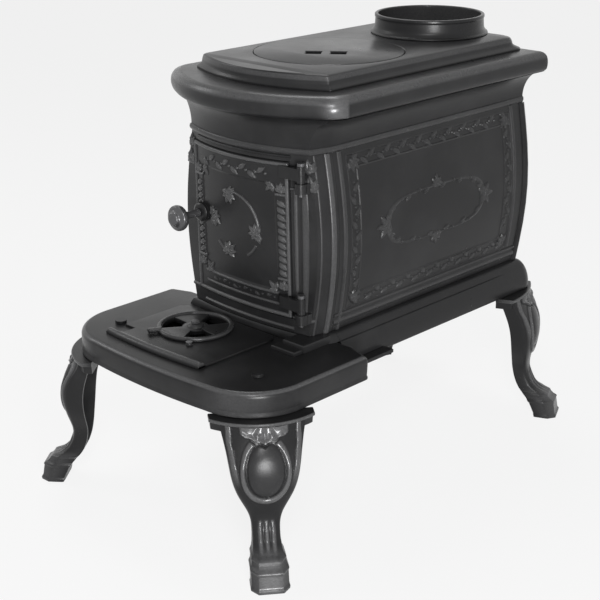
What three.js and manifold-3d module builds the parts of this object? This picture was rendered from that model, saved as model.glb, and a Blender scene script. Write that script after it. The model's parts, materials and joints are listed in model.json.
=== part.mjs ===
// A cast-iron box stove on four cabriole legs. Millimetres, +Z up, front door facing -Y.
// The origin is on the floor, at the middle of the rectangle that the stove stands in.
import * as THREE from 'three';
import { mergeVertices } from 'three/addons/utils/BufferGeometryUtils.js';
import Module from 'manifold-3d';

const wasm = await Module();
wasm.setup();

// ---- driving dimensions -------------------------------------------------------------------
const GAP = 0.3; // clearance between castings that touch
const WALL = 8; // body panels

// body, drawn straight and then swelled outwards
const BODY_Z0 = 250; // panels stand here
const BODY_Z1 = 494.5; // neck frame starts here
const BODY_HALF = 118;
const BODY_BACK = 306;
const CORNER_SIDE_Y = -110; // where the corner chamfer meets the side
const CORNER_FRONT_X = 110; // where it meets the front
const CORNER_FRONT_Y = -143;
const FRONT_BOW = 18; // rise of the front's curve at mid height
const BOW_CHANGE = 8; // more at the top, less at the bottom
const SWELL = 14.5; // how far the sides belly out at mid height
const STRAIGHT_HALF = 98; // the front and back stay straight this far from the middle
const BODY_STEPS = 8;

// top slab and its raised deck
const SLAB_Z0 = 545.2;
const SLAB_Z1 = 574;
const SLAB_HALF = 158;
const SLAB_FLARE = 3.4;
const SLAB_FRONT_Y = -134.5;
const SLAB_BOW = 66;
const SLAB_BACK = 306.7;
const PLATE = 8; // thickness of the top's plate
const DECK_Z1 = 593.7;
const DECK_BASE = { half: 124.4, front: -118.4, bow: 34.6, back: 298.9 };
const DECK_TOP = { half: 112.2, front: -112.3, bow: 36.7, back: 280 };

// cook lid and flue collar
const LID_Y = 12.5;
const LID_R = 103;
const LID_THICK = 7;
const LID_PROUD = 0.8;
const LID_LEDGE = 7;
const LIFTER = { x: 9, y: -4, turn: 38, apart: 17, long: 20, wide: 17 }; // the lid's two pockets
const FLUE_Y = 230;
const FLUE_R = 80;
const FLUE_BORE = 75;
const FLUE_FLANGE_R = 86;
const FLUE_TOP = 621.6;

// base casting and hearth
const RIM_Z = 205; // lower edge of the skirts
const HEARTH_Z = 239;
const HEARTH_HALF = 192.6;
const HEARTH_FRONT = -331;
const HEARTH_BOW = 5.5;
const HEARTH_CORNER = 85;
const HEARTH_BACK = -108;
const SKIRT = 6; // skirt and plate thickness
const BASE_TIER = 15.5; // how far the base's sloped tier stands out at its foot
const BASE_SKIRT = 22; // how far its skirt stands out
const BASE_LONGER = 1.4; // at the back they stand out this much more

// ash cover, with its spinning draft
const COVER = { left: -119, right: 66, front: -302, back: -159.5, thick: 3, lip: 4.6, bow: 5 };
const DRAFT = { x: -38, y: -212.5, r: 52.5, floor: 3, rim: 5.4, hub: 9, tab: 242, tabReach: 66 };
const DRAFT_HOLE = { near: 18, far: 45, span: 54 };
const DRAFT_HOLES = [85, 205, 325]; // degrees, middle of each opening

// door, hinge and latch
const DOOR = { left: -98, right: 84, bottom: 270, top: 484, thick: 9 };
const DOOR_LAP = 8; // how far the door laps over its opening, hinge side, top and bottom
const DOOR_LAP_LATCH = 7;
const DOOR_PLAY = 1.2; // gap between the door's edges and its recess
const HINGE = { x: 106, y: -155, barrel: 5.5, pin: 2.6 };
const HINGE_LUGS = [447, 270]; // undersides of the two fixed lugs
const LUG_HIGH = 13.5;
const KNUCKLE_HIGH = 22;
const KNOB = { x: -81, z: 386, face: -211 };
const SPINDLE = { front: -188, back: -110 };
const TONGUE = { front: -126, back: -120.5, half: 6.5, below: 8, above: 19 };
const LATCH_BOSS = -156.5; // front of the boss that the knob's collar bears on
const COLLAR_HIGH = 5;

// legs: foot centre, and the way that each pair faces
const FRONT_LEG = { x: 219, y: -330.4, turn: -38, bolt: 108, near: -63, far: 63, arc: 98.7 };
const REAR_LEG = { x: 179.7, y: 332.6, turn: 25, bolt: 68, near: -58, far: 34, arc: 150 };
const CREST_TOP = RIM_Z - GAP;
const CREST_Z0 = 188;

const ROD_R = 4;
const ROD_FOOT = 202;
const ROD_TOP = 569;
const RODS = [[97, -112], [97, 284], [-97, -112], [-97, 284]];

const SMALL_SCREW = 3; // radius of the draft bolt, the knob's spindle and the collar's screws
const LEG_BOLT = 4;
const LEDGE_IN = 18; // how far the base's ring reaches inside the body
const PIT_Z = 212; // underside of the ash tray
const PIT_WALL = 3;

// ---- finishes -------------------------------------------------------------------------------
function finish(color, roughness, metalness) {
  return new THREE.MeshStandardMaterial({ color, roughness, metalness });
}
const blackIron = () => finish(0x3a3b3d, 0.55, 0.6);
const topIron = () => finish(0x474849, 0.5, 0.6);
const fireIron = () => finish(0x33302e, 0.75, 0.4);
const steel = () => finish(0x77787a, 0.4, 0.9);

// ---- solids ---------------------------------------------------------------------------------
function toSolid(geometry) {
  const bare = geometry.clone();
  bare.deleteAttribute('normal');
  bare.deleteAttribute('uv');
  const merged = mergeVertices(bare, 1e-4);
  const mesh = new wasm.Mesh({
    numProp: 3,
    vertProperties: new Float32Array(merged.attributes.position.array),
    triVerts: new Uint32Array(merged.index.array),
  });
  return new wasm.Manifold(mesh);
}

function toGeometry(solid) {
  const mesh = solid.getMesh();
  const geometry = new THREE.BufferGeometry();
  geometry.setAttribute('position', new THREE.BufferAttribute(new Float32Array(mesh.vertProperties), 3));
  geometry.setIndex(new THREE.BufferAttribute(new Uint32Array(mesh.triVerts), 1));
  geometry.computeVertexNormals();
  return geometry;
}

const join = (...solids) => solids.reduce((whole, next) => whole.add(next));
const cut = (solid, ...tools) => tools.reduce((left, tool) => left.subtract(tool), solid);

// Straight-sided solid: a plan outline raised from z0 to z1.
function raise(points, z0, z1, steps = 1) {
  const shape = new THREE.Shape(points.map(([x, y]) => new THREE.Vector2(x, y)));
  const geometry = new THREE.ExtrudeGeometry(shape, { depth: z1 - z0, steps, bevelEnabled: false });
  return geometry.translate(0, 0, z0);
}

const prism = (points, z0, z1) => toSolid(raise(points, z0, z1));

function box(x0, x1, y0, y1, z0, z1) {
  const geometry = new THREE.BoxGeometry(x1 - x0, y1 - y0, z1 - z0);
  return toSolid(geometry.translate((x0 + x1) / 2, (y0 + y1) / 2, (z0 + z1) / 2));
}

// Upright round bar.
function post(x, y, r, z0, z1, sides = 24) {
  const geometry = new THREE.CylinderGeometry(r, r, z1 - z0, sides);
  return toSolid(geometry.rotateX(Math.PI / 2).translate(x, y, (z0 + z1) / 2));
}

// Solid of revolution: profile points are [radius, height], on the Z axis.
function turn(profile, sides = 48) {
  const points = profile.map(([r, z]) => new THREE.Vector2(r, z));
  return new THREE.LatheGeometry(points, sides).rotateX(Math.PI / 2);
}

// Solid through a stack of outlines with equal point counts, each given as [outline, z].
function stack(levels) {
  const count = levels[0][0].length;
  const position = levels.flatMap(([outline, z]) => outline.flatMap(([x, y]) => [x, y, z]));
  const index = [];
  for (let level = 0; level + 1 < levels.length; level += 1) {
    for (let i = 0; i < count; i += 1) {
      const a = level * count + i;
      const b = level * count + ((i + 1) % count);
      index.push(a, b, b + count, a, b + count, a + count);
    }
  }
  const top = (levels.length - 1) * count;
  const corners = (outline) => outline.map(([x, y]) => new THREE.Vector2(x, y));
  const flat = (outline) => THREE.ShapeUtils.triangulateShape(corners(outline), []);
  flat(levels[0][0]).forEach(([a, b, c]) => index.push(a, c, b));
  flat(levels.at(-1)[0]).forEach(([a, b, c]) => index.push(top + a, top + b, top + c));
  const geometry = new THREE.BufferGeometry();
  geometry.setAttribute('position', new THREE.BufferAttribute(new Float32Array(position), 3));
  geometry.setIndex(index);
  return toSolid(geometry);
}

// ---- plan outlines, all counter-clockwise ---------------------------------------------------
const mix = (a, b, t) => a + (b - a) * t;

// Points of a front edge that bows towards -Y, from -half to +half.
function bowed(half, y, bow, steps = 16) {
  return Array.from({ length: steps + 1 }, (_, i) => {
    const x = mix(-half, half, i / steps);
    return [x, y - bow * (1 - (x / half) ** 2)];
  });
}

function roundedBack(half, back, radius, steps = 4) {
  const corner = (side, from) => Array.from({ length: steps + 1 }, (_, i) => {
    const angle = from + (Math.PI / 2) * (i / steps);
    return [side * (half - radius) + radius * Math.cos(angle), back - radius + radius * Math.sin(angle)];
  });
  return [...corner(1, 0), ...corner(-1, Math.PI / 2)];
}

// The body's plan, grown outwards by a distance.
function bodyPlan(grow = 0, bow = FRONT_BOW, back = BODY_BACK, frontGrow = grow) {
  return [
    ...bowed(CORNER_FRONT_X + grow * 0.75, CORNER_FRONT_Y - frontGrow, bow),
    [BODY_HALF + grow, CORNER_SIDE_Y - grow * 0.4],
    [BODY_HALF + grow, back],
    [-BODY_HALF - grow, back],
    [-BODY_HALF - grow, CORNER_SIDE_Y - grow * 0.4],
  ];
}

// The same point count at the slab's sharp-cornered plan, so that the neck can run between both.
function slabPlan(half, front = SLAB_FRONT_Y, bow = SLAB_BOW, back = SLAB_BACK) {
  return [...bowed(half, front, bow), [half, front + 2], [half, back], [-half, back], [-half, front + 2]];
}

function blend(from, to, t) {
  return from.map(([x, y], i) => [mix(x, to[i][0], t), mix(y, to[i][1], t)]);
}

function circle(x, y, r, steps = 48) {
  return Array.from({ length: steps }, (_, i) => {
    const angle = (2 * Math.PI * i) / steps;
    return [x + r * Math.cos(angle), y + r * Math.sin(angle)];
  });
}

// ---- the body's swell: every body piece and the door goes through the same one ---------------
function swell(geometry) {
  const at = geometry.attributes.position;
  for (let i = 0; i < at.count; i += 1) {
    const [x, y, z] = [at.getX(i), at.getY(i), at.getZ(i)];
    const up = THREE.MathUtils.clamp((z - BODY_Z0) / (BODY_Z1 - BODY_Z0), 0, 1);
    const front = THREE.MathUtils.clamp((CORNER_SIDE_Y - y) / 20, 0, 1);
    const middle = 1 - Math.min(1, (x / CORNER_FRONT_X) ** 2);
    const past = (Math.abs(x) - STRAIGHT_HALF) / (CORNER_FRONT_X - STRAIGHT_HALF);
    const side = Math.sign(x) * THREE.MathUtils.clamp(past, 0, 1);
    at.setX(i, x + side * SWELL * Math.sin(Math.PI * up));
    at.setY(i, y - front * middle * BOW_CHANGE * (2 * up - 1));
  }
  return geometry;
}

const bodyColumn = (points, z0, z1, steps = BODY_STEPS) => toSolid(swell(raise(points, z0, z1, steps)));

// A strip of the bowed front between two widths, from a depth behind the face to another.
function frontStrip(x0, x1, near, far, steps = 12) {
  const face = Array.from({ length: steps + 1 }, (_, i) => {
    const x = mix(x0, x1, i / steps);
    return [x, CORNER_FRONT_Y - FRONT_BOW * (1 - (x / CORNER_FRONT_X) ** 2)];
  });
  return [...face.map(([x, y]) => [x, y + near]), ...face.reverse().map(([x, y]) => [x, y + far])];
}

// ---- body castings ---------------------------------------------------------------------------
const PANEL_Z0 = BODY_Z0 + GAP;
const PANEL_Z1 = BODY_Z1 - GAP;
const FRAME_DEEP = 17; // front frame, face to inside

function sidePanel(side) {
  const outer = BODY_HALF * side;
  const inner = (BODY_HALF - WALL) * side;
  const front = CORNER_SIDE_Y + GAP;
  const back = BODY_BACK - WALL - GAP;
  const plan = [[outer, front], [outer, back], [inner, back], [inner, front]];
  return bodyColumn(side > 0 ? plan : plan.reverse(), PANEL_Z0, PANEL_Z1);
}

// The back panel carries a round bead down each rear corner.
function backPanel() {
  const inner = BODY_BACK - WALL;
  const plate = [[BODY_HALF, inner], [BODY_HALF, BODY_BACK], [-BODY_HALF, BODY_BACK], [-BODY_HALF, inner]];
  const bead = (side) => {
    const plan = circle(side * (BODY_HALF - 1), BODY_BACK - 2, 5.5, 8);
    return bodyColumn(plan, PANEL_Z0, PANEL_Z1);
  };
  const room = (side) => {
    const [x0, x1] = side > 0 ? [BODY_HALF - 18, BODY_HALF + 4] : [-BODY_HALF - 4, -BODY_HALF + 18];
    return bodyColumn([[x0, inner - 18], [x1, inner - 18], [x1, inner], [x0, inner]], BODY_Z0, BODY_Z1);
  };
  return cut(join(bodyColumn(plate, PANEL_Z0, PANEL_Z1), bead(1), bead(-1)), room(1), room(-1));
}

function frontFrame() {
  const inner = [
    [BODY_HALF - WALL, CORNER_SIDE_Y + 5],
    [-BODY_HALF + WALL, CORNER_SIDE_Y + 5],
    ...bowed(CORNER_FRONT_X - WALL, CORNER_FRONT_Y + FRAME_DEEP, FRONT_BOW),
  ];
  const outer = bodyPlan().slice(0, 18).concat([[-BODY_HALF, CORNER_SIDE_Y]]);
  const shell = cut(bodyColumn(outer, PANEL_Z0, PANEL_Z1), bodyColumn(inner, BODY_Z0, BODY_Z1));
  const recess = frontStrip(DOOR.left - DOOR_PLAY, DOOR.right + DOOR_PLAY, -30, DOOR.thick + 0.4);
  const opening = frontStrip(DOOR.left + DOOR_LAP_LATCH, DOOR.right - DOOR_LAP, -30, 60);
  const framed = cut(shell, bodyColumn(recess, DOOR.bottom - 1, DOOR.top + 1),
    bodyColumn(opening, DOOR.bottom + DOOR_LAP, DOOR.top - DOOR_LAP));
  const eyes = HINGE_LUGS.map((z) => post(HINGE.x, HINGE.y, HINGE.pin + GAP, z - 1, z + LUG_HIGH + 1));
  return cut(join(framed, ...HINGE_LUGS.map(hingeLug)), ...eyes);
}

// Fixed half of a hinge: an eye that stands out from the corner.
function hingeLug(z) {
  const top = z + LUG_HIGH;
  const { x, y } = HINGE;
  const arm = [[x - 8, y + 3], [x + 8, y + 3], [x + 9, y + 19], [x - 12, y + 19]];
  return join(prism(circle(x, y, HINGE.barrel + 2.5, 20), z, top), prism(arm, z, top));
}

// The neck: a bead at its foot, then a cove that spreads to the slab's outline.
function neckFrame() {
  const bodyTop = (grow) => bodyPlan(grow, FRONT_BOW + BOW_CHANGE);
  const slabUnder = (inset) => slabPlan(SLAB_HALF - inset, SLAB_FRONT_Y + inset, SLAB_BOW - 4);
  const outer = [[bodyTop(1), BODY_Z1], [bodyTop(3.5), 497], [bodyTop(3.5), 501], [bodyTop(0.5), 503.5]];
  const inner = [[bodyTop(-WALL), BODY_Z1 - 1], [bodyTop(-WALL), 503.5]];
  const cove = 7;
  for (let i = 1; i <= cove; i += 1) {
    const angle = (Math.PI / 2) * (i / cove);
    const out = 1 - Math.cos(angle);
    const z = 503.5 + (SLAB_Z0 - GAP - 503.5) * Math.sin(angle);
    outer.push([blend(bodyTop(0.5), slabUnder(3), out), z]);
    inner.push([blend(bodyTop(-WALL), slabUnder(13), out), z + (i === cove ? 1 : 0)]);
  }
  const open = box(-BODY_HALF + WALL, BODY_HALF - WALL, -100, BODY_BACK - WALL, BODY_Z1 - 2, SLAB_Z0 + 2);
  return cut(stack(outer), cut(stack(inner), box(-300, 300, BODY_BACK - WALL, 400, 400, 600)), open);
}

// ---- top ---------------------------------------------------------------------------------------
const COLLAR_SCREWS = [[-68, FLUE_Y], [68, FLUE_Y]];

// A slab with a stepped deck on it, shelled from below, with a lobe that follows the flue collar round.
function topPlate() {
  const slab = stack([[slabPlan(SLAB_HALF + SLAB_FLARE, SLAB_FRONT_Y - SLAB_FLARE), SLAB_Z0],
    [slabPlan(SLAB_HALF), SLAB_Z1 - 1.5], [slabPlan(SLAB_HALF - 1.5, SLAB_FRONT_Y + 1), SLAB_Z1]]);
  const level = (t) => {
    const sizes = ['half', 'front', 'bow', 'back'].map((key) => mix(DECK_BASE[key], DECK_TOP[key], t));
    const [half, front, bow, back] = sizes;
    return [...bowed(half, front, bow), ...roundedBack(half, back, 25)];
  };
  const high = DECK_Z1 - SLAB_Z1;
  const deck = stack([[level(0), SLAB_Z1 - 2], [level(0), SLAB_Z1 + 0.1 * high],
    [level(0.35), SLAB_Z1 + 0.35 * high], [level(0.6), SLAB_Z1 + 0.45 * high],
    [level(0.9), SLAB_Z1 + 0.9 * high], [level(1), DECK_Z1]]);
  const lobe = post(0, FLUE_Y, FLUE_FLANGE_R + 5, SLAB_Z0, SLAB_Z1, 48);
  const pad = post(0, FLUE_Y, FLUE_FLANGE_R + 1, SLAB_Z1 - 1, DECK_Z1, 48);
  const inside = slabPlan(SLAB_HALF - 10, SLAB_FRONT_Y + 10, SLAB_BOW - 4, SLAB_BACK - PLATE);
  const hollow = prism(inside, SLAB_Z0 - 1, SLAB_Z1 - PLATE);
  const deckUnder = DECK_Z1 - PLATE - LID_THICK;
  const under = prism(insetDeck(12), SLAB_Z1 - PLATE - 1, deckUnder);
  const bosses = RODS.map(([x, y]) => post(x, y, 9, SLAB_Z0, deckUnder + 1, 20));
  const rodHoles = RODS.map(([x, y]) => post(x, y, ROD_R + GAP, SLAB_Z0 - 1, ROD_TOP + 1, 16));
  const body = join(cut(join(slab, deck, lobe, pad), hollow, under), ...bosses);
  return cut(body, ...rodHoles,
    post(0, LID_Y, LID_R + 0.7, DECK_Z1 - LID_THICK + LID_PROUD - GAP, DECK_Z1 + 5, 64),
    post(0, LID_Y, LID_R - LID_LEDGE, SLAB_Z0 - 2, DECK_Z1 + 5, 48),
    post(0, FLUE_Y, FLUE_BORE - 5, SLAB_Z0 - 2, DECK_Z1 + 5, 48),
    ...COLLAR_SCREWS.map(([x, y]) => post(x, y, SMALL_SCREW + GAP, SLAB_Z0, DECK_Z1 + 5, 12)));
}

function insetDeck(inset) {
  return [...bowed(DECK_TOP.half - inset, DECK_TOP.front + inset, DECK_TOP.bow),
    ...roundedBack(DECK_TOP.half - inset, DECK_TOP.back - inset, 14)];
}

// The lid, with two pockets either side of the bridge that a lifter hooks under.
function cookLid() {
  const top = DECK_Z1 + LID_PROUD;
  const disc = toSolid(turn([[0, 0], [LID_R - 1, 0], [LID_R, 1], [LID_R, LID_THICK - 1.2],
    [LID_R - 1.2, LID_THICK], [0, LID_THICK]], 64)).translate([0, LID_Y, top - LID_THICK]);
  const turned = new THREE.Euler(0, 0, THREE.MathUtils.degToRad(LIFTER.turn));
  const pocket = (along) => {
    const spot = new THREE.Vector3(along, 0, 0).applyEuler(turned);
    const geometry = new THREE.BoxGeometry(LIFTER.long, LIFTER.wide, 3 * LID_THICK).rotateZ(turned.z);
    return toSolid(geometry.translate(LIFTER.x + spot.x, LIFTER.y + spot.y, top));
  };
  return cut(disc, pocket(-LIFTER.apart), pocket(LIFTER.apart));
}

// The collar, with two ears inside its bore for the screws that hold it down.
function flueCollar() {
  const z = DECK_Z1 + GAP;
  const profile = [[FLUE_BORE, z], [FLUE_FLANGE_R, z], [FLUE_FLANGE_R, z + 4.5], [FLUE_R + 2.5, z + 6.3],
    [FLUE_R, z + 8], [FLUE_R - 0.8, FLUE_TOP - 4], [FLUE_R, FLUE_TOP - 3], [FLUE_R, FLUE_TOP - 0.8],
    [FLUE_R - 0.8, FLUE_TOP], [FLUE_BORE + 0.5, FLUE_TOP], [FLUE_BORE, z]];
  const ring = toSolid(turn(profile, 48)).translate([0, FLUE_Y, 0]);
  const ears = COLLAR_SCREWS.map(([x]) => {
    const out = Math.sign(x) * (FLUE_BORE + 2);
    const inside = Math.sign(x) * 60;
    return box(Math.min(out, inside), Math.max(out, inside), FLUE_Y - 9, FLUE_Y + 9, z, z + 5);
  });
  const holes = COLLAR_SCREWS.map(([x, y]) => post(x, y, SMALL_SCREW + GAP, z - 1, z + 9, 12));
  return cut(join(ring, ...ears), ...holes);
}

function collarScrew([x, y]) {
  const head = DECK_Z1 + GAP + 5 + GAP;
  const end = DECK_Z1 - PLATE - 12;
  return join(post(x, y, 5.5, head, head + 3.5, 12), post(x, y, SMALL_SCREW, end, head + 1, 12));
}

// ---- base ----------------------------------------------------------------------------------------
// The base: a sloped tier under the body, and a skirt round its sides and back.
function baseFrame() {
  const tierFoot = HEARTH_Z + GAP;
  const back = (grow) => BODY_BACK + grow * BASE_LONGER;
  const plan = (grow, front) => bodyPlan(grow, FRONT_BOW - BOW_CHANGE, back(grow), front);
  const skirtPlan = (grow) => [[BODY_HALF + grow, HEARTH_BACK + GAP], ...roundedBack(BODY_HALF + grow,
    back(grow), Math.max(4, 1.2 * grow), 6), [-BODY_HALF - grow, HEARTH_BACK + GAP]];
  const tier = stack([[plan(BASE_TIER - 1, 2), tierFoot], [plan(BASE_TIER - 3, 3), tierFoot + 3.5],
    [plan(8, 4), BODY_Z0 - 3], [plan(4, 4), BODY_Z0 - 0.8], [plan(2, 3), BODY_Z0]]);
  const round = join(prism(skirtPlan(BASE_TIER), tierFoot - 1, BODY_Z0 + 1), box(-200, 200, -400, -90, 200, 260));
  const skirt = stack([[skirtPlan(BASE_SKIRT), RIM_Z], [skirtPlan(BASE_SKIRT - 1), RIM_Z + 15],
    [skirtPlan(BASE_SKIRT - 3.3), RIM_Z + 25], [skirtPlan(BASE_TIER), tierFoot - 1],
    [skirtPlan(BASE_TIER), tierFoot]]);
  const hollow = stack([[skirtPlan(BASE_SKIRT - SKIRT), RIM_Z - 1],
    [skirtPlan(BASE_TIER - SKIRT), tierFoot - SKIRT]]);
  const bosses = [1, -1].map((side) => boltBoss(REAR_LEG, side, tierFoot));
  const reach = BODY_HALF - LEDGE_IN;
  const open = box(-reach, reach, CORNER_FRONT_Y + 28, BODY_BACK - LEDGE_IN, 200, 260);
  const lugs = RODS.map(([x, y]) => post(x, y, 10, tierFoot, BODY_Z0, 20));
  const mouth = box(-reach, reach, HEARTH_BACK - 2, HEARTH_BACK + 12, 200, tierFoot);
  const whole = join(tier.intersect(round), cut(skirt, hollow, mouth), plinth());
  return cut(join(cut(whole, open), ...lugs, ...bosses),
    ...RODS.map(([x, y]) => post(x, y, ROD_R + GAP, 190, 260, 16)),
    ...[1, -1].map((side) => boltHole(REAR_LEG, side, RIM_Z - 5, BODY_Z0 - 14)));
}

// Stepped foot block under the hinge corner, standing on the hearth.
function plinth() {
  const step = (x0, x1, y0, z1) => box(x0, x1, y0, CORNER_SIDE_Y - 12, HEARTH_Z + GAP, z1);
  return join(step(90, 128, -174, BODY_Z0), step(84, 126, -190, BODY_Z0 - 5));
}

function boltAt(leg, side) {
  const turned = THREE.MathUtils.degToRad(leg.turn);
  return [side * (leg.x - leg.bolt * Math.cos(turned)), leg.y - leg.bolt * Math.sin(turned)];
}

const boltBoss = (leg, side, top) => post(...boltAt(leg, side), 12, RIM_Z, top, 20);
const boltHole = (leg, side, z0, z1) => post(...boltAt(leg, side), LEG_BOLT + GAP, z0, z1, 16);

// The hearth's plan: large rounded front corners and a bowed front, cut in a little at the back corners.
function hearthPlan(inset = 0) {
  const half = HEARTH_HALF - inset;
  const corner = (side, from) => Array.from({ length: 9 }, (_, i) => {
    const angle = from + (Math.PI / 2) * (i / 8);
    const r = HEARTH_CORNER - inset;
    return [side * (half - r) + r * Math.cos(angle), HEARTH_FRONT + inset + r + r * Math.sin(angle)];
  });
  const run = half - HEARTH_CORNER + inset;
  const back = HEARTH_BACK - inset;
  return [
    ...bowed(run, HEARTH_FRONT + inset, HEARTH_BOW, 6).slice(1, -1),
    ...corner(1, -Math.PI / 2),
    [half, back - 15], [half - 1.5, back - 11], [half - 5, back - 9], [half - 30, back],
    [-half + 30, back], [-half + 5, back - 9], [-half + 1.5, back - 11], [-half, back - 15],
    ...corner(-1, -Math.PI),
  ];
}

function hearthPlate() {
  const outer = stack([[hearthPlan(1), RIM_Z], [hearthPlan(0), RIM_Z + 3], [hearthPlan(0), HEARTH_Z - 5],
    [hearthPlan(1.5), HEARTH_Z - 1.5], [hearthPlan(5), HEARTH_Z]]);
  const hollow = prism(hearthPlan(SKIRT), RIM_Z - 1, HEARTH_Z - SKIRT);
  const [low, high] = [RIM_Z - 2, HEARTH_Z + 5];
  const under = box(-BODY_HALF + LEDGE_IN, BODY_HALF - LEDGE_IN, -146, HEARTH_BACK + 5, low, high);
  const ashHole = box(COVER.left + 19, COVER.right - 10, COVER.front + 14, COVER.back - 8, low, high);
  const ear = (side) => {
    const [x0, x1] = side > 0 ? [BODY_HALF + BASE_SKIRT + 1, 156] : [-156, -BODY_HALF - BASE_SKIRT - 1];
    return box(x0, x1, HEARTH_BACK - 8, -25, RIM_Z, RIM_Z + 5);
  };
  const bosses = [1, -1].map((side) => boltBoss(FRONT_LEG, side, HEARTH_Z - 1));
  return cut(join(cut(outer, hollow, under, ashHole), ear(1), ear(-1), ...bosses),
    ...[1, -1].map((side) => boltHole(FRONT_LEG, side, 190, HEARTH_Z + 5)),
    ...RODS.map(([x, y]) => post(x, y, 12, RIM_Z - 2, HEARTH_Z + 2, 20)));
}

// Shallow tray below the grate and the ash cover, hung from the tie rods.
function ashPit() {
  const tray = (inset, z0, z1) => join(
    box(-84 + inset, 84 - inset, -302 + inset, 290 - inset, z0, z1),
    box(-106 + inset, 0, -302 + inset, -152 - inset, z0, z1),
  );
  const ears = RODS.map(([x, y]) => join(post(x, y, 9, PIT_Z, PIT_Z + 4, 20),
    box(Math.min(x, Math.sign(x) * 80), Math.max(x, Math.sign(x) * 80), y - 6, y + 6, PIT_Z, PIT_Z + 4)));
  const holes = RODS.map(([x, y]) => post(x, y, ROD_R + GAP, PIT_Z - 2, PIT_Z + 9, 16));
  const walls = cut(tray(0, PIT_Z, HEARTH_Z - SKIRT - GAP), tray(PIT_WALL, PIT_Z + PIT_WALL, HEARTH_Z));
  return cut(join(walls, ...ears), ...holes);
}

function fireGrate() {
  const z0 = BODY_Z0 + GAP;
  const plate = box(-107, 107, -104, 276, z0, z0 + 7);
  const slots = [];
  const rows = 11;
  for (let row = 0; row < rows; row += 1) {
    const y = mix(-86, 262, row / (rows - 1));
    slots.push(box(-78, -6, y - 8, y + 8, z0 - 1, z0 + 8), box(6, 78, y - 8, y + 8, z0 - 1, z0 + 8));
  }
  return cut(plate, ...slots);
}

// ---- ash cover and draft ---------------------------------------------------------------------------
const COVER_Z = HEARTH_Z + GAP;
const COVER_TOP = COVER_Z + COVER.thick;
const DRAFT_Z = COVER_TOP + GAP;

function coverPlan(inset = 0) {
  const middle = (COVER.left + COVER.right) / 2;
  const half = (COVER.right - COVER.left) / 2 - inset;
  const front = bowed(half, COVER.front + inset, COVER.bow, 8).map(([x, y]) => [x + middle, y]);
  return [...front, [middle + half, COVER.back - 8], [middle + half - 8, COVER.back - inset],
    [middle - half + 8, COVER.back - inset], [middle - half, COVER.back - 8]];
}

function sector(middle, { near, far, span }, steps = 6) {
  const arc = (r) => Array.from({ length: steps + 1 }, (_, i) => {
    const angle = THREE.MathUtils.degToRad(middle - span / 2 + (span * i) / steps);
    return [DRAFT.x + r * Math.cos(angle), DRAFT.y + r * Math.sin(angle)];
  });
  return [...arc(far), ...arc(near).reverse()];
}

const STUD = [DRAFT.x + 39, DRAFT.y - 46.5];

// The ash cover: a plate with a raised front lip, a finger notch and the draft's three holes.
function hearthCover() {
  const plate = stack([[coverPlan(0), COVER_Z], [coverPlan(0), COVER_TOP - 1], [coverPlan(1), COVER_TOP]]);
  const lip = stack([[coverPlan(0), COVER_Z], [coverPlan(0), COVER_TOP],
    [coverPlan(3), COVER_TOP + COVER.lip - 1], [coverPlan(6), COVER_TOP + COVER.lip]]);
  const [x0, y0, under] = [COVER.left - 5, COVER.front, COVER_Z - 1];
  const behind = box(x0, COVER.right + 5, y0 + 13, COVER.back + 5, under, COVER_TOP + 20);
  const notch = box(x0, COVER.left + 20, y0 + 10, y0 + 34, under, COVER_TOP + 9);
  const holes = DRAFT_HOLES.map((at) => prism(sector(at, DRAFT_HOLE), COVER_Z - 1, COVER_TOP + 5));
  return cut(join(plate, cut(lip, behind)), notch, ...holes,
    post(DRAFT.x, DRAFT.y, SMALL_SCREW + GAP, 230, 250, 16),
    post(...STUD, 2.5 + GAP, 230, 250, 12));
}

// The draft: a rimmed disc with a hub, three openings and a thumb tab.
function spinDraft() {
  const profile = [[0, 0], [DRAFT.r, 0], [DRAFT.r, DRAFT.rim - 1], [DRAFT.r - 1.5, DRAFT.rim],
    [DRAFT.r - 4, DRAFT.rim], [DRAFT.r - 6, DRAFT.floor], [DRAFT.hub + 2, DRAFT.floor], [DRAFT.hub, 7], [0, 7]];
  const disc = toSolid(turn(profile, 48)).translate([DRAFT.x, DRAFT.y, DRAFT_Z]);
  const tabPlan = sector(DRAFT.tab, { near: DRAFT.r - 3, far: DRAFT.tabReach, span: 11 }, 2);
  const tab = prism(tabPlan, DRAFT_Z + 1.8, DRAFT_Z + DRAFT.rim + 1);
  const holes = DRAFT_HOLES.map((at) => prism(sector(at, DRAFT_HOLE), DRAFT_Z - 1, DRAFT_Z + 9));
  return cut(join(disc, tab), ...holes, post(DRAFT.x, DRAFT.y, SMALL_SCREW + GAP, 230, 260, 16));
}

function draftBolt() {
  const head = DRAFT_Z + 7 + GAP;
  return join(post(DRAFT.x, DRAFT.y, 6, head, head + 3, 6),
    post(DRAFT.x, DRAFT.y, SMALL_SCREW, COVER_Z - 13, head + 1, 16));
}

const draftNut = () => cut(post(DRAFT.x, DRAFT.y, 6, COVER_Z - 5 - GAP, COVER_Z - GAP, 6),
  post(DRAFT.x, DRAFT.y, SMALL_SCREW + GAP, 220, 250, 16));

const stopStud = () => join(post(...STUD, 4.5, COVER_TOP + GAP, COVER_TOP + 4.5, 16),
  post(...STUD, 2.5, COVER_Z - 3, COVER_TOP + 1, 12));

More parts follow.
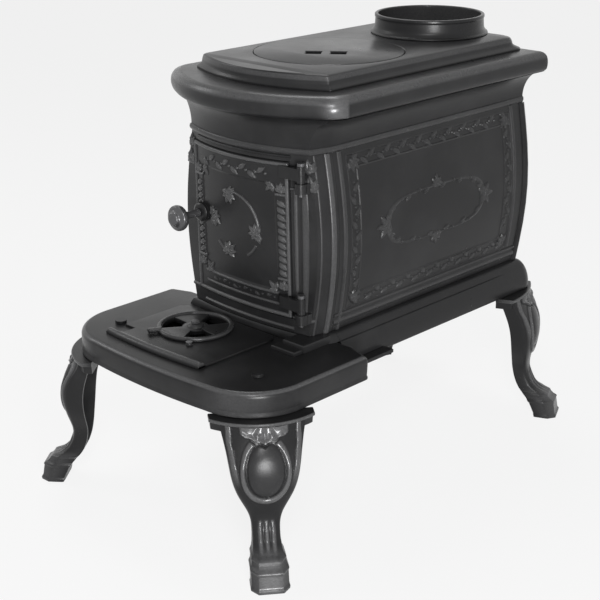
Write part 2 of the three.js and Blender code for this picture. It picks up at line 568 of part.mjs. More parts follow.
// ---- door ---------------------------------------------------------------------------------------
// The door lies in its recess in the front frame; its face is sunk inside a plain border.
function feedDoor() {
  const slab = frontStrip(DOOR.left, DOOR.right, 0, DOOR.thick);
  const panel = bodyColumn(slab, DOOR.bottom, DOOR.top);
  const field = frontStrip(DOOR.left + 20, DOOR.right - 22, -30, 2);
  const sunk = bodyColumn(field, DOOR.bottom + 22, DOOR.top - 24);
  const arms = HINGE_LUGS.map((z) => hingeArm(z + LUG_HIGH + GAP));
  const bores = HINGE_LUGS.map((z) => post(HINGE.x, HINGE.y, HINGE.pin + GAP, z, z + 60, 16));
  const boss = acrossPost(KNOB.x, KNOB.z, 14, LATCH_BOSS, -149, 28);
  return cut(join(cut(panel, sunk), boss, ...arms), ...bores, spindleHole());
}

// Moving half of a hinge: an eye on an arm that lies over the door's face.
function hingeArm(z) {
  const eye = prism(circle(HINGE.x, HINGE.y, HINGE.barrel, 20), z, z + KNUCKLE_HIGH);
  const arm = [[72, -161], [HINGE.x, HINGE.y - HINGE.barrel], [HINGE.x, HINGE.y + 1], [86, -157],
    [DOOR.right - 0.5, -155], [DOOR.right - 0.5, -147], [72, -149.3]];
  return join(eye, prism(arm, z + 3, z + KNUCKLE_HIGH - 3));
}

function hingePin(lug) {
  const top = lug + LUG_HIGH + GAP + KNUCKLE_HIGH + GAP;
  return join(post(HINGE.x, HINGE.y, HINGE.pin, lug - 4, top + 1, 16),
    post(HINGE.x, HINGE.y, 5, top, top + 4, 16));
}

// Room for the knob's spindle, from a little inside the knob to the firebox.
const spindleHole = () => acrossPost(KNOB.x, KNOB.z, SMALL_SCREW + GAP, SPINDLE.front - GAP, -100, 16);

// Round bar along Y.
function acrossPost(x, z, r, y0, y1, sides = 20) {
  const geometry = new THREE.CylinderGeometry(r, r, y1 - y0, sides);
  return toSolid(geometry.translate(x, (y0 + y1) / 2, z));
}

// Solid of revolution round the latch's axis; profile points are [radius, distance in front].
function onLatch(profile, sides = 32) {
  const geometry = turn(profile, sides).rotateX(Math.PI / 2);
  return toSolid(geometry).translate([KNOB.x, 0, KNOB.z]);
}

// The knob's barrel stands on its collar, which stands on the door's round boss.
function doorKnob() {
  const stem = -LATCH_BOSS + COLLAR_HIGH + 2 * GAP;
  const face = -KNOB.face;
  const outline = [[0, stem], [6.5, stem], [5.5, stem + 6], [5.5, face - 26], [9, face - 20], [17, face - 17],
    [18, face - 14], [18, face - 10], [15.5, face - 5], [9, face - 1.5], [0, face]];
  return cut(onLatch(outline), spindleHole());
}

function latchCollar() {
  const back = -LATCH_BOSS + GAP;
  const outline = [[0, back], [13, back], [13, back + 2], [9, back + COLLAR_HIGH], [0, back + COLLAR_HIGH]];
  return cut(onLatch(outline), spindleHole());
}

// The tongue points up while the latch is released.
function latchTongue() {
  const { front, back, half, below, above } = TONGUE;
  return cut(box(KNOB.x - half, KNOB.x + half, front, back, KNOB.z - below, KNOB.z + above), spindleHole());
}

const knobSpindle = () => acrossPost(KNOB.x, KNOB.z, SMALL_SCREW, SPINDLE.front, SPINDLE.back);

function latchNut() {
  return cut(acrossPost(KNOB.x, KNOB.z, 6, TONGUE.back + GAP, TONGUE.back + 5, 6), spindleHole());
}

// ---- legs ----------------------------------------------------------------------------------------
// Levels of a leg from the floor up: height, half-width, back and front of the section,
// measured from the middle of the foot along the way the leg faces.
const LEG_LEVELS = [
  [0, 22, -14, 14], [4, 25.5, -17, 16], [22, 26, -29, 11], [31, 24, -36, 4], [40, 18, -43, -14],
  [56, 15.5, -50, -28], [78, 17, -54, -31], [96, 26, -55, -27], [112, 34, -56, -21], [132, 40, -58, -18],
  [152, 43, -60, -21], [172, 47, -66, -28], [188, 50, -72, -38], [199, 51, -76, -43],
];

// One level's outline: a squared oval.
function legSection([z, half, back, front]) {
  const points = 14;
  const middle = (back + front) / 2;
  const deep = (front - back) / 2;
  const squared = (v) => Math.sign(v) * Math.abs(v) ** 0.55;
  const outline = Array.from({ length: points }, (_, i) => {
    const angle = (2 * Math.PI * (i + 0.5)) / points;
    return [middle + deep * squared(Math.cos(angle)), half * squared(Math.sin(angle))];
  });
  return [outline, z];
}

// The crest's plan: curved in front, as the casting above it is, and flat behind.
function crestPlan({ near, far, arc }, front, longer) {
  const [from, to] = [near - longer, far + longer];
  const curve = Array.from({ length: 13 }, (_, i) => {
    const across = from + ((to - from) * i) / 12;
    return [front - arc + Math.sqrt(arc * arc - across * across), across];
  });
  return [[-80, from], ...curve, [-80, to]];
}

// A leg faces +X with its foot over the origin; a crest closes it at the top, and a lug takes its bolt.
function leg(place) {
  const room = box(-90, 40, place.near, place.far, -1, 210);
  const shaft = stack(LEG_LEVELS.map(legSection)).intersect(room);
  const crest = join(prism(crestPlan(place, -46, 0), CREST_Z0, CREST_TOP - 4),
    prism(crestPlan(place, -39, 3), CREST_TOP - 5, CREST_TOP));
  const lug = join(box(-place.bolt, -60, -12, 12, CREST_Z0, CREST_TOP),
    post(-place.bolt, 0, 12, CREST_Z0, CREST_TOP, 20));
  const headRoom = post(-place.bolt, 0, 9.5, 165, CREST_Z0, 20);
  return cut(join(cut(shaft, headRoom), crest, lug), post(-place.bolt, 0, LEG_BOLT + GAP, 150, 220, 16));
}

// The front legs' bolts come down through the hearth; the rear legs' go up from below.
function frontLegBolt(side) {
  const at = boltAt(FRONT_LEG, side);
  return join(post(...at, 8, HEARTH_Z + GAP, HEARTH_Z + 4.5, 16),
    post(...at, LEG_BOLT, CREST_Z0 - 9, HEARTH_Z + 1, 16));
}

function frontLegNut(side) {
  const at = boltAt(FRONT_LEG, side);
  return cut(post(...at, 7.5, CREST_Z0 - GAP - 6, CREST_Z0 - GAP, 6),
    post(...at, LEG_BOLT + GAP, 170, 200, 12));
}

function rearLegBolt(side) {
  const at = boltAt(REAR_LEG, side);
  return join(post(...at, 7.5, CREST_Z0 - GAP - 6, CREST_Z0 - GAP, 6),
    post(...at, LEG_BOLT, CREST_Z0 - 1, BODY_Z0 - 18, 12));
}

// ---- tie rods, which clamp the top, the body, the base and the ash tray ------------------------------
const tieRod = ([x, y]) => post(x, y, ROD_R, ROD_FOOT, ROD_TOP, 12);
const tieNut = ([x, y]) => cut(post(x, y, 8, PIT_Z - GAP - 6, PIT_Z - GAP, 6),
  post(x, y, ROD_R + GAP, ROD_FOOT - 5, PIT_Z, 12));

// ---- assembly -------------------------------------------------------------------------------------
const stove = new THREE.Group();

function add(name, solid, material = blackIron()) {
  const mesh = new THREE.Mesh(toGeometry(solid), material);
  mesh.name = name;
  stove.add(mesh);
  return mesh;
}

function addLeg(name, place, side) {
  const mesh = add(name, side > 0 ? leg(place) : leg(place).mirror([0, 1, 0]));
  const turned = THREE.MathUtils.degToRad(place.turn);
  mesh.rotation.z = side > 0 ? turned : Math.PI - turned;
  mesh.position.set(side * place.x, place.y, 0);
}

add('top_plate', topPlate(), topIron());
add('cook_lid', cookLid(), topIron());
add('flue_collar', flueCollar(), topIron());
COLLAR_SCREWS.forEach((at, i) => add(`flue_collar_screw_${i + 1}`, collarScrew(at), steel()));
add('neck_frame', neckFrame());
add('side_panel_right', sidePanel(1));
add('side_panel_left', sidePanel(-1));
add('back_panel', backPanel());
add('front_frame', frontFrame());
add('base_frame', baseFrame());
add('hearth_plate', hearthPlate());
add('ash_pit', ashPit(), fireIron());
add('fire_grate', fireGrate(), fireIron());
add('hearth_cover', hearthCover());
add('spin_draft', spinDraft());
add('draft_bolt', draftBolt(), steel());
add('draft_nut', draftNut(), steel());
add('draft_stop_stud', stopStud(), steel());
add('feed_door', feedDoor());
add('hinge_pin_upper', hingePin(HINGE_LUGS[0]), steel());
add('hinge_pin_lower', hingePin(HINGE_LUGS[1]), steel());
add('door_knob', doorKnob());
add('latch_collar', latchCollar());
add('knob_spindle', knobSpindle(), steel());
add('latch_tongue', latchTongue());
add('latch_nut', latchNut(), steel());
RODS.forEach((at, i) => add(`tie_rod_${i + 1}`, tieRod(at), steel()));
RODS.forEach((at, i) => add(`tie_rod_nut_${i + 1}`, tieNut(at), steel()));
for (const [hand, side] of [['right', 1], ['left', -1]]) {
  addLeg(`leg_front_${hand}`, FRONT_LEG, side);
  addLeg(`leg_rear_${hand}`, REAR_LEG, side);
  add(`front_leg_bolt_${hand}`, frontLegBolt(side), steel());
  add(`front_leg_nut_${hand}`, frontLegNut(side), steel());
  add(`rear_leg_bolt_${hand}`, rearLegBolt(side), steel());
}

export default stove;
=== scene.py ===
# %% [markdown]
# # A cast-iron box stove
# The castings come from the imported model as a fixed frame: every number in this file is in the same frame,
# +Z up, the feed door facing -Y, the origin on the floor under the middle. This lesson dresses that frame:
# each plain casting that shows gets a finer surface worked out with numpy, and every piece gets a procedural
# iron or steel finish. Lengths are written in millimetres and turned into metres when a mesh is made.

# %% Load the frame
import json
import math

import bpy
import numpy as np
from mathutils import Matrix, Vector
from mathutils.geometry import tessellate_polygon


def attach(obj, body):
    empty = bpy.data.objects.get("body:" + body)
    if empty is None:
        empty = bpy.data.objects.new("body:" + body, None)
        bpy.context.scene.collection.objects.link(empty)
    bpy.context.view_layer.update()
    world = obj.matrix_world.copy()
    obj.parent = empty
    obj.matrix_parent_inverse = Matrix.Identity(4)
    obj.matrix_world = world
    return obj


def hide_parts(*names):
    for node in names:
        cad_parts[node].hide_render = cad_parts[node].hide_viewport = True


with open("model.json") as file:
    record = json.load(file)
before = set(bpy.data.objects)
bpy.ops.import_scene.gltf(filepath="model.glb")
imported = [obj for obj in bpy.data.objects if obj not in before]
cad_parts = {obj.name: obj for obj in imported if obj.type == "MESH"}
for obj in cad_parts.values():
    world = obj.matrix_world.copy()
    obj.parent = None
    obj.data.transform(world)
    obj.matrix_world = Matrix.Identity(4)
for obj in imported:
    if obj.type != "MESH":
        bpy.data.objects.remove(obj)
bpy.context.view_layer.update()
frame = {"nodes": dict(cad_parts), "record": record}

scene = bpy.context.scene
scene.view_settings.view_transform = "Standard"
MM = 0.001
GAP = 0.3  # millimetres between castings that touch

# %% [markdown]
# ## The camera
# The photograph looks down on the stove's front right corner. Its place and lens were solved from the straight
# edges and the circles of the lid and the collar, so here they are just numbers.

# %% Camera
CAMERA_AT = (1.2468, -1.3494, 0.9174)
CAMERA_YAW, CAMERA_PITCH, CAMERA_ROLL = 43.741, 20.383, -0.199
CAMERA_LENS = 81.14


def aim_camera():
    """Turn about Z by the yaw, tip down from level by the pitch, then roll about the line of sight."""
    camera = bpy.data.objects.new("camera", bpy.data.cameras.new("camera"))
    scene.collection.objects.link(camera)
    camera.data.sensor_fit = "HORIZONTAL"
    camera.data.sensor_width = 36
    camera.data.lens = CAMERA_LENS
    turn = Matrix.Rotation(math.radians(CAMERA_YAW), 4, "Z")
    tip = Matrix.Rotation(math.radians(90 - CAMERA_PITCH), 4, "X")
    roll = Matrix.Rotation(math.radians(CAMERA_ROLL), 4, "Z")
    camera.matrix_world = Matrix.Translation(CAMERA_AT) @ turn @ tip @ roll
    return camera


scene.camera = aim_camera()
print("camera at", CAMERA_AT)

# %% [markdown]
# ## Wiring shader nodes
# A shader is a tree of nodes: some inputs hold a plain value, others are fed by another node's output. One small
# helper adds a node and fills its inputs either way, so the recipes below read as lists of what goes where.

# %% Shader node helpers
def feed(tree, node, inputs):
    """Fill a node's inputs: a socket is linked, anything else is set as the value."""
    for label, value in inputs.items():
        if isinstance(value, bpy.types.NodeSocket):
            tree.links.new(value, node.inputs[label])
        else:
            node.inputs[label].default_value = value


def add_node(tree, kind, inputs={}, **settings):
    """Add a node to a tree, with its settings first, because a group's inputs only exist once its tree is set."""
    node = tree.nodes.new(kind)
    for setting, value in settings.items():
        setattr(node, setting, value)
    feed(tree, node, inputs)
    return node


def worked_out(tree, operation, a, b):
    """One sum on two values, each a socket or a plain number."""
    return add_node(tree, "ShaderNodeMath", {0: a, 1: b}, operation=operation).outputs[0]


print("node helpers ready")

# %% [markdown]
# ## Floor, world and lamps
# A white floor and a white world stand in for the studio. The floor shows its own white to the camera and to
# reflections, mixed with a little of its lit surface, so that the stove keeps a soft shadow under it. The lamps
# are large and soft: a weak one overhead, a low window to the right that rakes over the ornament, a fill from
# above on the right, and a weak one on the left that keeps the far side of the door out of the dark.

# %% Floor and world
FLOOR_HALF, FLOOR_LIT = 6.0, (0.7, 0.7, 0.7, 1)
FLOOR_WHITE = 0.86  # share of the floor's look that is plain white
WORLD_SOFT = 0.08  # strength of the world where it lights the stove


def camera_or_gloss(tree):
    """1 for a ray from the camera, off a gloss or through glass, 0 for the rays that light the stove."""
    path = add_node(tree, "ShaderNodeLightPath").outputs
    first = worked_out(tree, "MAXIMUM", path["Is Camera Ray"], path["Is Glossy Ray"])
    return worked_out(tree, "MAXIMUM", first, path["Is Transmission Ray"])


def white_floor():
    """A square sheet under the stove: its shader is part plain white, part lit white."""
    mesh = bpy.data.meshes.new("floor")
    corners = [(x * FLOOR_HALF, y * FLOOR_HALF, 0) for x, y in ((-1, -1), (1, -1), (1, 1), (-1, 1))]
    mesh.from_pydata(corners, [], [(0, 1, 2, 3)])
    floor = bpy.data.objects.new("floor", mesh)
    scene.collection.objects.link(floor)
    material = bpy.data.materials.new("studio_floor")
    material.use_nodes = True
    tree = material.node_tree
    tree.nodes.clear()
    lit = add_node(tree, "ShaderNodeBsdfDiffuse", {"Color": FLOOR_LIT})
    plain = add_node(tree, "ShaderNodeEmission", {"Strength": 1.0})
    share = worked_out(tree, "MULTIPLY", camera_or_gloss(tree), FLOOR_WHITE)
    mix = add_node(tree, "ShaderNodeMixShader", {0: share, 1: lit.outputs[0], 2: plain.outputs[0]})
    add_node(tree, "ShaderNodeOutputMaterial", {"Surface": mix.outputs[0]})
    mesh.materials.append(material)


def white_world():
    """White where it is seen or reflected, and a softer white where it lights the stove."""
    world = bpy.data.worlds.new("studio")
    scene.world = world
    world.use_nodes = True
    tree = world.node_tree
    strength = add_node(tree, "ShaderNodeMapRange",
                        {"Value": camera_or_gloss(tree), "To Min": WORLD_SOFT, "To Max": 1.0}).outputs[0]
    feed(tree, tree.nodes["Background"], {"Color": (1, 1, 1, 1), "Strength": strength})


white_floor()
white_world()
print("white floor and world")

# %% Lamps
LAMPS = {  # place, point that it faces, size in metres, watts
    "overhead": ((-0.6, 0.4, 2.3), (0, 0, 0.5), 0.8, 14),
    "window": ((2.05, -1.6, 0.3), (0, -0.1, 0.3), 0.45, 62),
    "fill": ((1.5, -1.6, 1.7), (0, 0, 0.4), 0.6, 26),
    "left": ((-2.0, -0.9, 1.5), (0, 0, 0.4), 0.8, 8),
}


def soft_lamp(name, place, towards, size, watts):
    """A square lamp at a place, turned to face a point."""
    data = bpy.data.lights.new(name, "AREA")
    data.size = size
    data.energy = watts
    lamp = bpy.data.objects.new(name, data)
    scene.collection.objects.link(lamp)
    look = (Vector(towards) - Vector(place)).to_track_quat("-Z", "Y")
    lamp.matrix_world = Matrix.Translation(place) @ look.to_matrix().to_4x4()


for lamp_name, setting in LAMPS.items():
    soft_lamp(lamp_name, *setting)
print(len(LAMPS), "lamps")

# %% [markdown]
# ## The iron's skin
# Cast iron carries the grain of the sand that it was poured in, under stove black that is rubbed thinner on
# whatever stands proud. Several finishes share these effects, so they are two node groups: the sand grain, which
# is a height for a bump, and the blacking, a colour, a roughness and a metallic share that wander over the surface
# and change where it is worn. The wear reads a "relief" value that the pieces made below carry on their points;
# on some edges, corners, beads, rims and feet that value is also a painted highlight, set high where a lamp's
# reflection falls. Plain castings have none, so they simply stay black.

# %% Node group helpers
NUMBER, COLOUR = "NodeSocketFloat", "NodeSocketColor"


def new_group(name, inputs, outputs):
    """An empty shader node group with inputs {label: (kind, value)} and outputs {label: kind}."""
    group = bpy.data.node_groups.new(name, "ShaderNodeTree")
    for label, (kind, value) in inputs.items():
        socket = group.interface.new_socket(name=label, in_out="INPUT", socket_type=kind)
        socket.default_value = value
    for label, kind in outputs.items():
        group.interface.new_socket(name=label, in_out="OUTPUT", socket_type=kind)
    return group, group.nodes.new("NodeGroupInput").outputs, group.nodes.new("NodeGroupOutput")


def noise(tree, scale, detail, roughness=0.5):
    """A noise on Object coordinates, in cells per metre."""
    place = add_node(tree, "ShaderNodeTexCoord").outputs["Object"]
    inputs = {"Vector": place, "Scale": scale, "Detail": detail, "Roughness": roughness}
    return add_node(tree, "ShaderNodeTexNoise", inputs).outputs["Fac"]


print("group helpers ready")

# %% Sand grain
def sand_grain_group():
    """Height from two noises: the sand's grain times its depth, and half of a slower ripple of the mould."""
    group, given, result = new_group("sand_grain", {"Grain": (NUMBER, 900.0), "Depth": (NUMBER, 0.25)},
                                     {"Height": NUMBER})
    fine = worked_out(group, "MULTIPLY", noise(group, given["Grain"], 3, 0.6), given["Depth"])
    ripple = worked_out(group, "MULTIPLY", noise(group, 60, 2), 0.5)
    feed(group, result, {"Height": worked_out(group, "ADD", fine, ripple)})
    return group


sand_grain = sand_grain_group()
print("group", sand_grain.name)

# %% Blacking and wear
def blacking_group():
    """Colour, roughness and metallic share from an amount of bare iron, which is partly painted highlight: relief
    times wear, broken up by specks, plus a thin haze where a slow noise is high. Rubbed iron is also a little
    smoother."""
    group, given, result = new_group(
        "blacking",
        {"Black": (COLOUR, (0.05, 0.05, 0.052, 1)), "Worn": (COLOUR, (0.12, 0.12, 0.122, 1)), "Wear": (NUMBER, 0.6),
         "Rough": (NUMBER, 0.5), "Patch": (NUMBER, 9.0), "Metal": (NUMBER, 0.2)},
        {"Color": COLOUR, "Roughness": NUMBER, "Metallic": NUMBER},
    )
    patch, speck = noise(group, given["Patch"], 5, 0.62), noise(group, 420, 2)
    relief = add_node(group, "ShaderNodeAttribute", attribute_name="relief").outputs["Fac"]
    rubbed = worked_out(group, "MULTIPLY", relief, given["Wear"])
    broken = worked_out(group, "MULTIPLY", rubbed, worked_out(group, "ADD", speck, 0.35))
    haze = worked_out(group, "MULTIPLY", worked_out(group, "SUBTRACT", patch, 0.47), 0.35)
    amount = add_node(group, "ShaderNodeClamp", {"Value": worked_out(group, "ADD", broken, haze)}).outputs[0]
    tint = add_node(group, "ShaderNodeMix", data_type="RGBA")
    feed(group, tint, {"Factor": amount, 6: given["Black"], 7: given["Worn"]})  # 6 and 7 are its two colours
    wander = worked_out(group, "MULTIPLY", worked_out(group, "SUBTRACT", patch, 0.5), 0.35)
    rough = worked_out(group, "ADD", given["Rough"], wander)
    smoother = worked_out(group, "SUBTRACT", rough, worked_out(group, "MULTIPLY", broken, 0.12))
    bared = worked_out(group, "ADD", worked_out(group, "MULTIPLY", amount, 0.3), given["Metal"])
    feed(group, result, {"Color": tint.outputs[2], "Roughness": smoother, "Metallic": bared})
    return group


blacking = blacking_group()
print("group", blacking.name)

# %% [markdown]
# ## The finishes
# Each finish is one Principled shader fed by the two groups with its own values. Stove black hides the metal
# under it, so the black irons are hardly metallic but where they are rubbed bare, and the roughness does most of
# the work. Iron that sits in the fire is dull and a little brown, and the knob's steel is the one bright metal.

# %% Finishes
SPECULAR, GRAIN_HIGH = 0.2, 0.0012  # dull specular level; height of the bump in metres


def iron_finish(name, black, worn, wear, rough, metal, depth, grain=900.0, bump=0.18):
    """A Principled shader: colour, roughness and metal from the blacking, its normal from the sand grain."""
    material = bpy.data.materials.new(name)
    material.use_nodes = True
    tree = material.node_tree
    skin = add_node(tree, "ShaderNodeGroup", {"Black": (*black, 1), "Worn": (*worn, 1), "Wear": wear, "Rough": rough,
                                              "Metal": metal}, node_tree=blacking).outputs
    sand = add_node(tree, "ShaderNodeGroup", {"Grain": grain, "Depth": depth}, node_tree=sand_grain).outputs
    lift = add_node(tree, "ShaderNodeBump", {"Strength": bump, "Distance": GRAIN_HIGH, "Height": sand["Height"]})
    feed(tree, tree.nodes["Principled BSDF"],
         {"Specular IOR Level": SPECULAR, "Normal": lift.outputs[0], "Base Color": skin["Color"],
          "Roughness": skin["Roughness"], "Metallic": skin["Metallic"]})
    return material


# the colour of rubbed iron, also used for the painted highlights that the relief value carries
WORN_AND_HIGHLIGHT_GREY = (0.12, 0.12, 0.122)
black_iron = iron_finish("black_iron", (0.012, 0.012, 0.0125), WORN_AND_HIGHLIGHT_GREY, 0.8, 0.33, 0.05, 0.5)
top_iron = iron_finish("top_iron", (0.014, 0.014, 0.0146), WORN_AND_HIGHLIGHT_GREY, 0.7, 0.32, 0.05, 0.4)
fire_iron = iron_finish("fire_iron", (0.02, 0.018, 0.017), (0.08, 0.07, 0.06), 0.4, 0.78, 0.1, 0.8, grain=500.0)
steel = iron_finish("dark_steel", (0.09, 0.09, 0.093), (0.35, 0.35, 0.35), 0.3, 0.3, 0.6, 0.12, 1600.0, 0.2)
print("4 finishes")

# %% Give every casting its finish
SLOT_FINISH = {"black_iron": black_iron, "top_iron": top_iron, "fire_iron": fire_iron, "steel": steel}
slot_of = {s["node"]: s["material_slot"] for s in frame["record"]["subparts"]}
slot_of["spin_draft"] = "top_iron"
slot_of.update({name: "black_iron" for name in slot_of if "leg_bolt" in name})
for node_name, node in frame["nodes"].items():
    node.data.materials.clear()
    node.data.materials.append(SLOT_FINISH[slot_of[node_name]])
print("dressed", len(frame["nodes"]), "castings")

# %% [markdown]
# ## From numbers to a casting
# Every new piece starts as one or more shells: grids of points worked out with numpy, and the faces between them.
# A shell is closed, so its volume has a sign; where that comes out negative its faces point inwards and are turned
# round. A piece is then one mesh made of its shells, smooth but for its real creases. Points stay in millimetres
# until the last moment, because that is how a casting is measured.

# %% Shells
NO_TRIS = np.zeros((0, 3), int)
NO_QUADS = np.zeros((0, 4), int)
CREASE = 32  # degrees between faces from which an edge is sharp
BACK_STEP = 6  # a sheet's plain back keeps every sixth line of its grid


def signed_volume(points, quads, tris):
    """Sum of the tetrahedra from the origin to every triangle: positive where faces point outwards."""
    corners = np.concatenate([quads[:, [0, 1, 2]], quads[:, [0, 2, 3]], tris])
    a, b, c = (points[corners[:, i]] for i in range(3))
    return np.einsum("ij,ij->i", a, np.cross(b, c)).sum() / 6


def shell(points, quads=NO_QUADS, tris=NO_TRIS, relief=None):
    """A closed surface with outward faces: (points, quads, tris, relief value of each point)."""
    points = np.asarray(points, float)
    centred = points - points.mean(axis=0)
    if signed_volume(centred, quads, tris) < 0:
        quads, tris = quads[:, ::-1], tris[:, ::-1]
    return points, quads, tris, np.zeros(len(points)) if relief is None else relief


def joined(shells):
    """Several shells as one: each one's face numbers are moved past the points before it."""
    points, quads, tris, relief = zip(*shells)
    starts = np.cumsum([0] + [len(each) for each in points])
    moved = (np.concatenate([faces + at for faces, at in zip(kind, starts)]) for kind in (quads, tris))
    return np.concatenate(points), *moved, np.concatenate(relief)


def make_piece(name, shells, finish, body, nodes=()):
    """One mesh object from shells: millimetres to metres, smooth shading but for creases, riding on its body."""
    points, quads, tris, relief = joined(shells)
    mesh = bpy.data.meshes.new(name)
    mesh.vertices.add(len(points))
    mesh.vertices.foreach_set("co", (points * MM).ravel())
    mesh.loops.add(quads.size + tris.size)
    mesh.loops.foreach_set("vertex_index", np.concatenate([quads.ravel(), tris.ravel()]))
    sides = np.concatenate([np.full(len(quads), 4), np.full(len(tris), 3)])
    mesh.polygons.add(len(sides))
    mesh.polygons.foreach_set("loop_start", np.concatenate([[0], np.cumsum(sides)[:-1]]))
    mesh.update(calc_edges=True)
    mesh.validate()
    mesh.polygons.foreach_set("use_smooth", np.ones(len(mesh.polygons), bool))
    mesh.set_sharp_from_angle(angle=math.radians(CREASE))
    mesh.attributes.new("relief", "FLOAT", "POINT").data.foreach_set("value", relief)
    mesh.materials.append(finish)
    piece = bpy.data.objects.new(name, mesh)
    scene.collection.objects.link(piece)
    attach(piece, body)
    if nodes:
        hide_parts(*nodes)
    print(name, len(points), "points", 2 * len(quads) + len(tris), "triangles")


print("shells can be made, joined and turned into pieces")

# %% Grids, sheets, rings and lathes
def grid_quads(rows, columns, wrap_rows=False, wrap_columns=False):
    """The quads of a grid of points numbered row by row; a wrapped way joins its last line to its first."""
    r = np.arange(rows if wrap_rows else rows - 1)
    c = np.arange(columns if wrap_columns else columns - 1)
    r, c = np.meshgrid(r, c, indexing="ij")
    r2, c2 = (r + 1) % rows, (c + 1) % columns
    return np.stack([r * columns + c, r * columns + c2, r2 * columns + c2, r2 * columns + c], axis=-1).reshape(-1, 4)


def edge_loop(number):
    """The point numbers round a grid's four edges, in order, each once."""
    return np.concatenate([number[0, :-1], number[:-1, -1], number[-1, :0:-1], number[:0:-1, 0]])


def sheet_shell(front, back, relief):
    """A closed slab: a fine front, a back that keeps a few lines of the same grid, and triangles between them.

    Each fine edge makes a triangle with the back's last corner before it, each coarse edge one with the front's
    next corner. Nothing fine is lost, because the back of every sheet is plain."""
    rows, columns, _ = front.shape
    count = rows * columns
    kept = np.ix_(*(np.unique(np.append(np.arange(0, size, BACK_STEP), size - 1)) for size in (rows, columns)))
    number, behind = np.arange(count).reshape(rows, columns), back[kept]
    fine, coarse = edge_loop(number), edge_loop(np.arange(behind[..., 0].size).reshape(behind.shape[:2]) + count)
    at = np.flatnonzero(np.isin(fine, edge_loop(number[kept])))
    last = np.searchsorted(at, np.arange(len(fine)), side="right") - 1
    rim = np.concatenate([np.stack([fine, np.roll(fine, -1), coarse[last]], axis=1),
                          np.stack([fine[np.roll(at, -1)], np.roll(coarse, -1), coarse], axis=1)])
    quads = np.concatenate([grid_quads(rows, columns)[:, ::-1], grid_quads(*behind.shape[:2]) + count])
    points = np.concatenate([front.reshape(-1, 3), behind.reshape(-1, 3)])
    return shell(points, quads, rim, np.concatenate([relief.ravel(), np.zeros(len(points) - count)]))


def flat_triangles(outlines):
    """Triangles that fill a flat outline and leave its holes open, numbered through all the outlines in turn."""
    return np.array(tessellate_polygon([[Vector((x, y, 0)) for x, y in line[:, :2]] for line in outlines]))


def ring_shell(rings, hollow=False, relief=None):
    """Closed rings of equal count joined in turn, and the last to the first where hollow; else flat ends close it."""
    rings = np.asarray(rings, float)
    rows, columns, _ = rings.shape
    quads = grid_quads(rows, columns, wrap_rows=hollow, wrap_columns=True)
    tris = NO_TRIS
    if not hollow:
        last = (rows - 1) * columns
        tris = np.concatenate([end_face(rings[0])[:, ::-1], end_face(rings[-1]) + last])
    return shell(rings.reshape(-1, 3), quads, tris, relief)


def end_face(ring):
    """Triangles that fill a flat ring, each running the same way round as the ring itself."""
    normal = np.cross(ring, np.roll(ring, -1, axis=0)).sum(axis=0)
    flat = np.delete(ring, np.argmax(np.abs(normal)), axis=1)
    tris = flat_triangles([flat])
    return tris if signed_area(flat[tris[0]]) * signed_area(flat) > 0 else tris[:, ::-1]


def signed_area(outline):
    """Twice the area inside a closed outline: positive where it runs counter-clockwise."""
    x, y = outline.T
    return np.sum(x * np.roll(y, -1) - np.roll(x, -1) * y)


def lathe_shell(profile, sides, at, along="z", worn=0.0):
    """Turns (radius, distance) points about an axis. The profile starts and ends on the axis, or closes on itself."""
    profile = np.asarray(profile, float)
    angle = np.linspace(0, 2 * math.pi, sides, endpoint=False)
    r, d = profile[:, :1], np.repeat(profile[:, 1:], sides, axis=1)
    across, up = r * np.cos(angle), r * np.sin(angle)
    axes = {"z": (across, up, d), "y": (across, -d, up)}[along]
    rings = np.stack(axes, axis=-1) + np.asarray(at, float)
    on_axis = profile[0, 0] == 0 and profile[-1, 0] == 0
    quads = grid_quads(len(profile), sides, wrap_rows=not on_axis, wrap_columns=True)
    return shell(rings.reshape(-1, 3), quads, relief=np.full(len(profile) * sides, worn))


print("sheets, rings and lathes ready")

# %% [markdown]
# Most castings are drawn as plans, outlines seen from above that run counter-clockwise. A plan raised to a height is
# a ring, and a stack of rings makes a wall. Profiles for the lathe get soft corners, because cast iron has no sharp
# ones.

# %% Plans, blocks and soft corners
def level(plan, z):
    """A plan raised to a height."""
    return np.column_stack([plan, np.full(len(plan), z)])


def stacked(outline, steps):
    """Rings of an outline that takes an inset, through (inset, height) pairs."""
    return np.array([level(outline(inset), z) for inset, z in steps])


def rectangle(x0, x1, y0, y1):
    """A rectangle's plan, counter-clockwise."""
    return np.array([(x0, y0), (x1, y0), (x1, y1), (x0, y1)], float)


def circle_at(x, y, radius, turn):
    """Points of a circle about (x, y), at angles in radians."""
    return np.column_stack([x + radius * np.cos(turn), y + radius * np.sin(turn)])


def post_shell(x, y, radius, z0, z1):
    """An upright round boss."""
    return lathe_shell([(0, z0), (radius, z0), (radius, z1), (0, z1)], 32, (x, y, 0))


def block_shell(x0, x1, y0, y1, z0, z1, ease=1.5):
    """A block with eased upper edges: rings that step in by a quarter circle at the top."""
    turn = np.linspace(0, math.pi / 2, 5)
    insets = np.concatenate([[0], ease * (1 - np.cos(turn))])
    heights = np.concatenate([[z0], z1 - ease + ease * np.sin(turn)])
    return ring_shell(stacked(lambda inset: rectangle(x0 + inset, x1 - inset, y0 + inset, y1 - inset),
                              zip(insets, heights)))


def turned(plan, degrees, at):
    """Plan points turned about the origin and then moved to a place."""
    turn, x, y = math.radians(degrees), plan[..., 0], plan[..., 1]
    return np.stack([at[0] + x * math.cos(turn) - y * math.sin(turn),
                     at[1] + x * math.sin(turn) + y * math.cos(turn)], axis=-1)


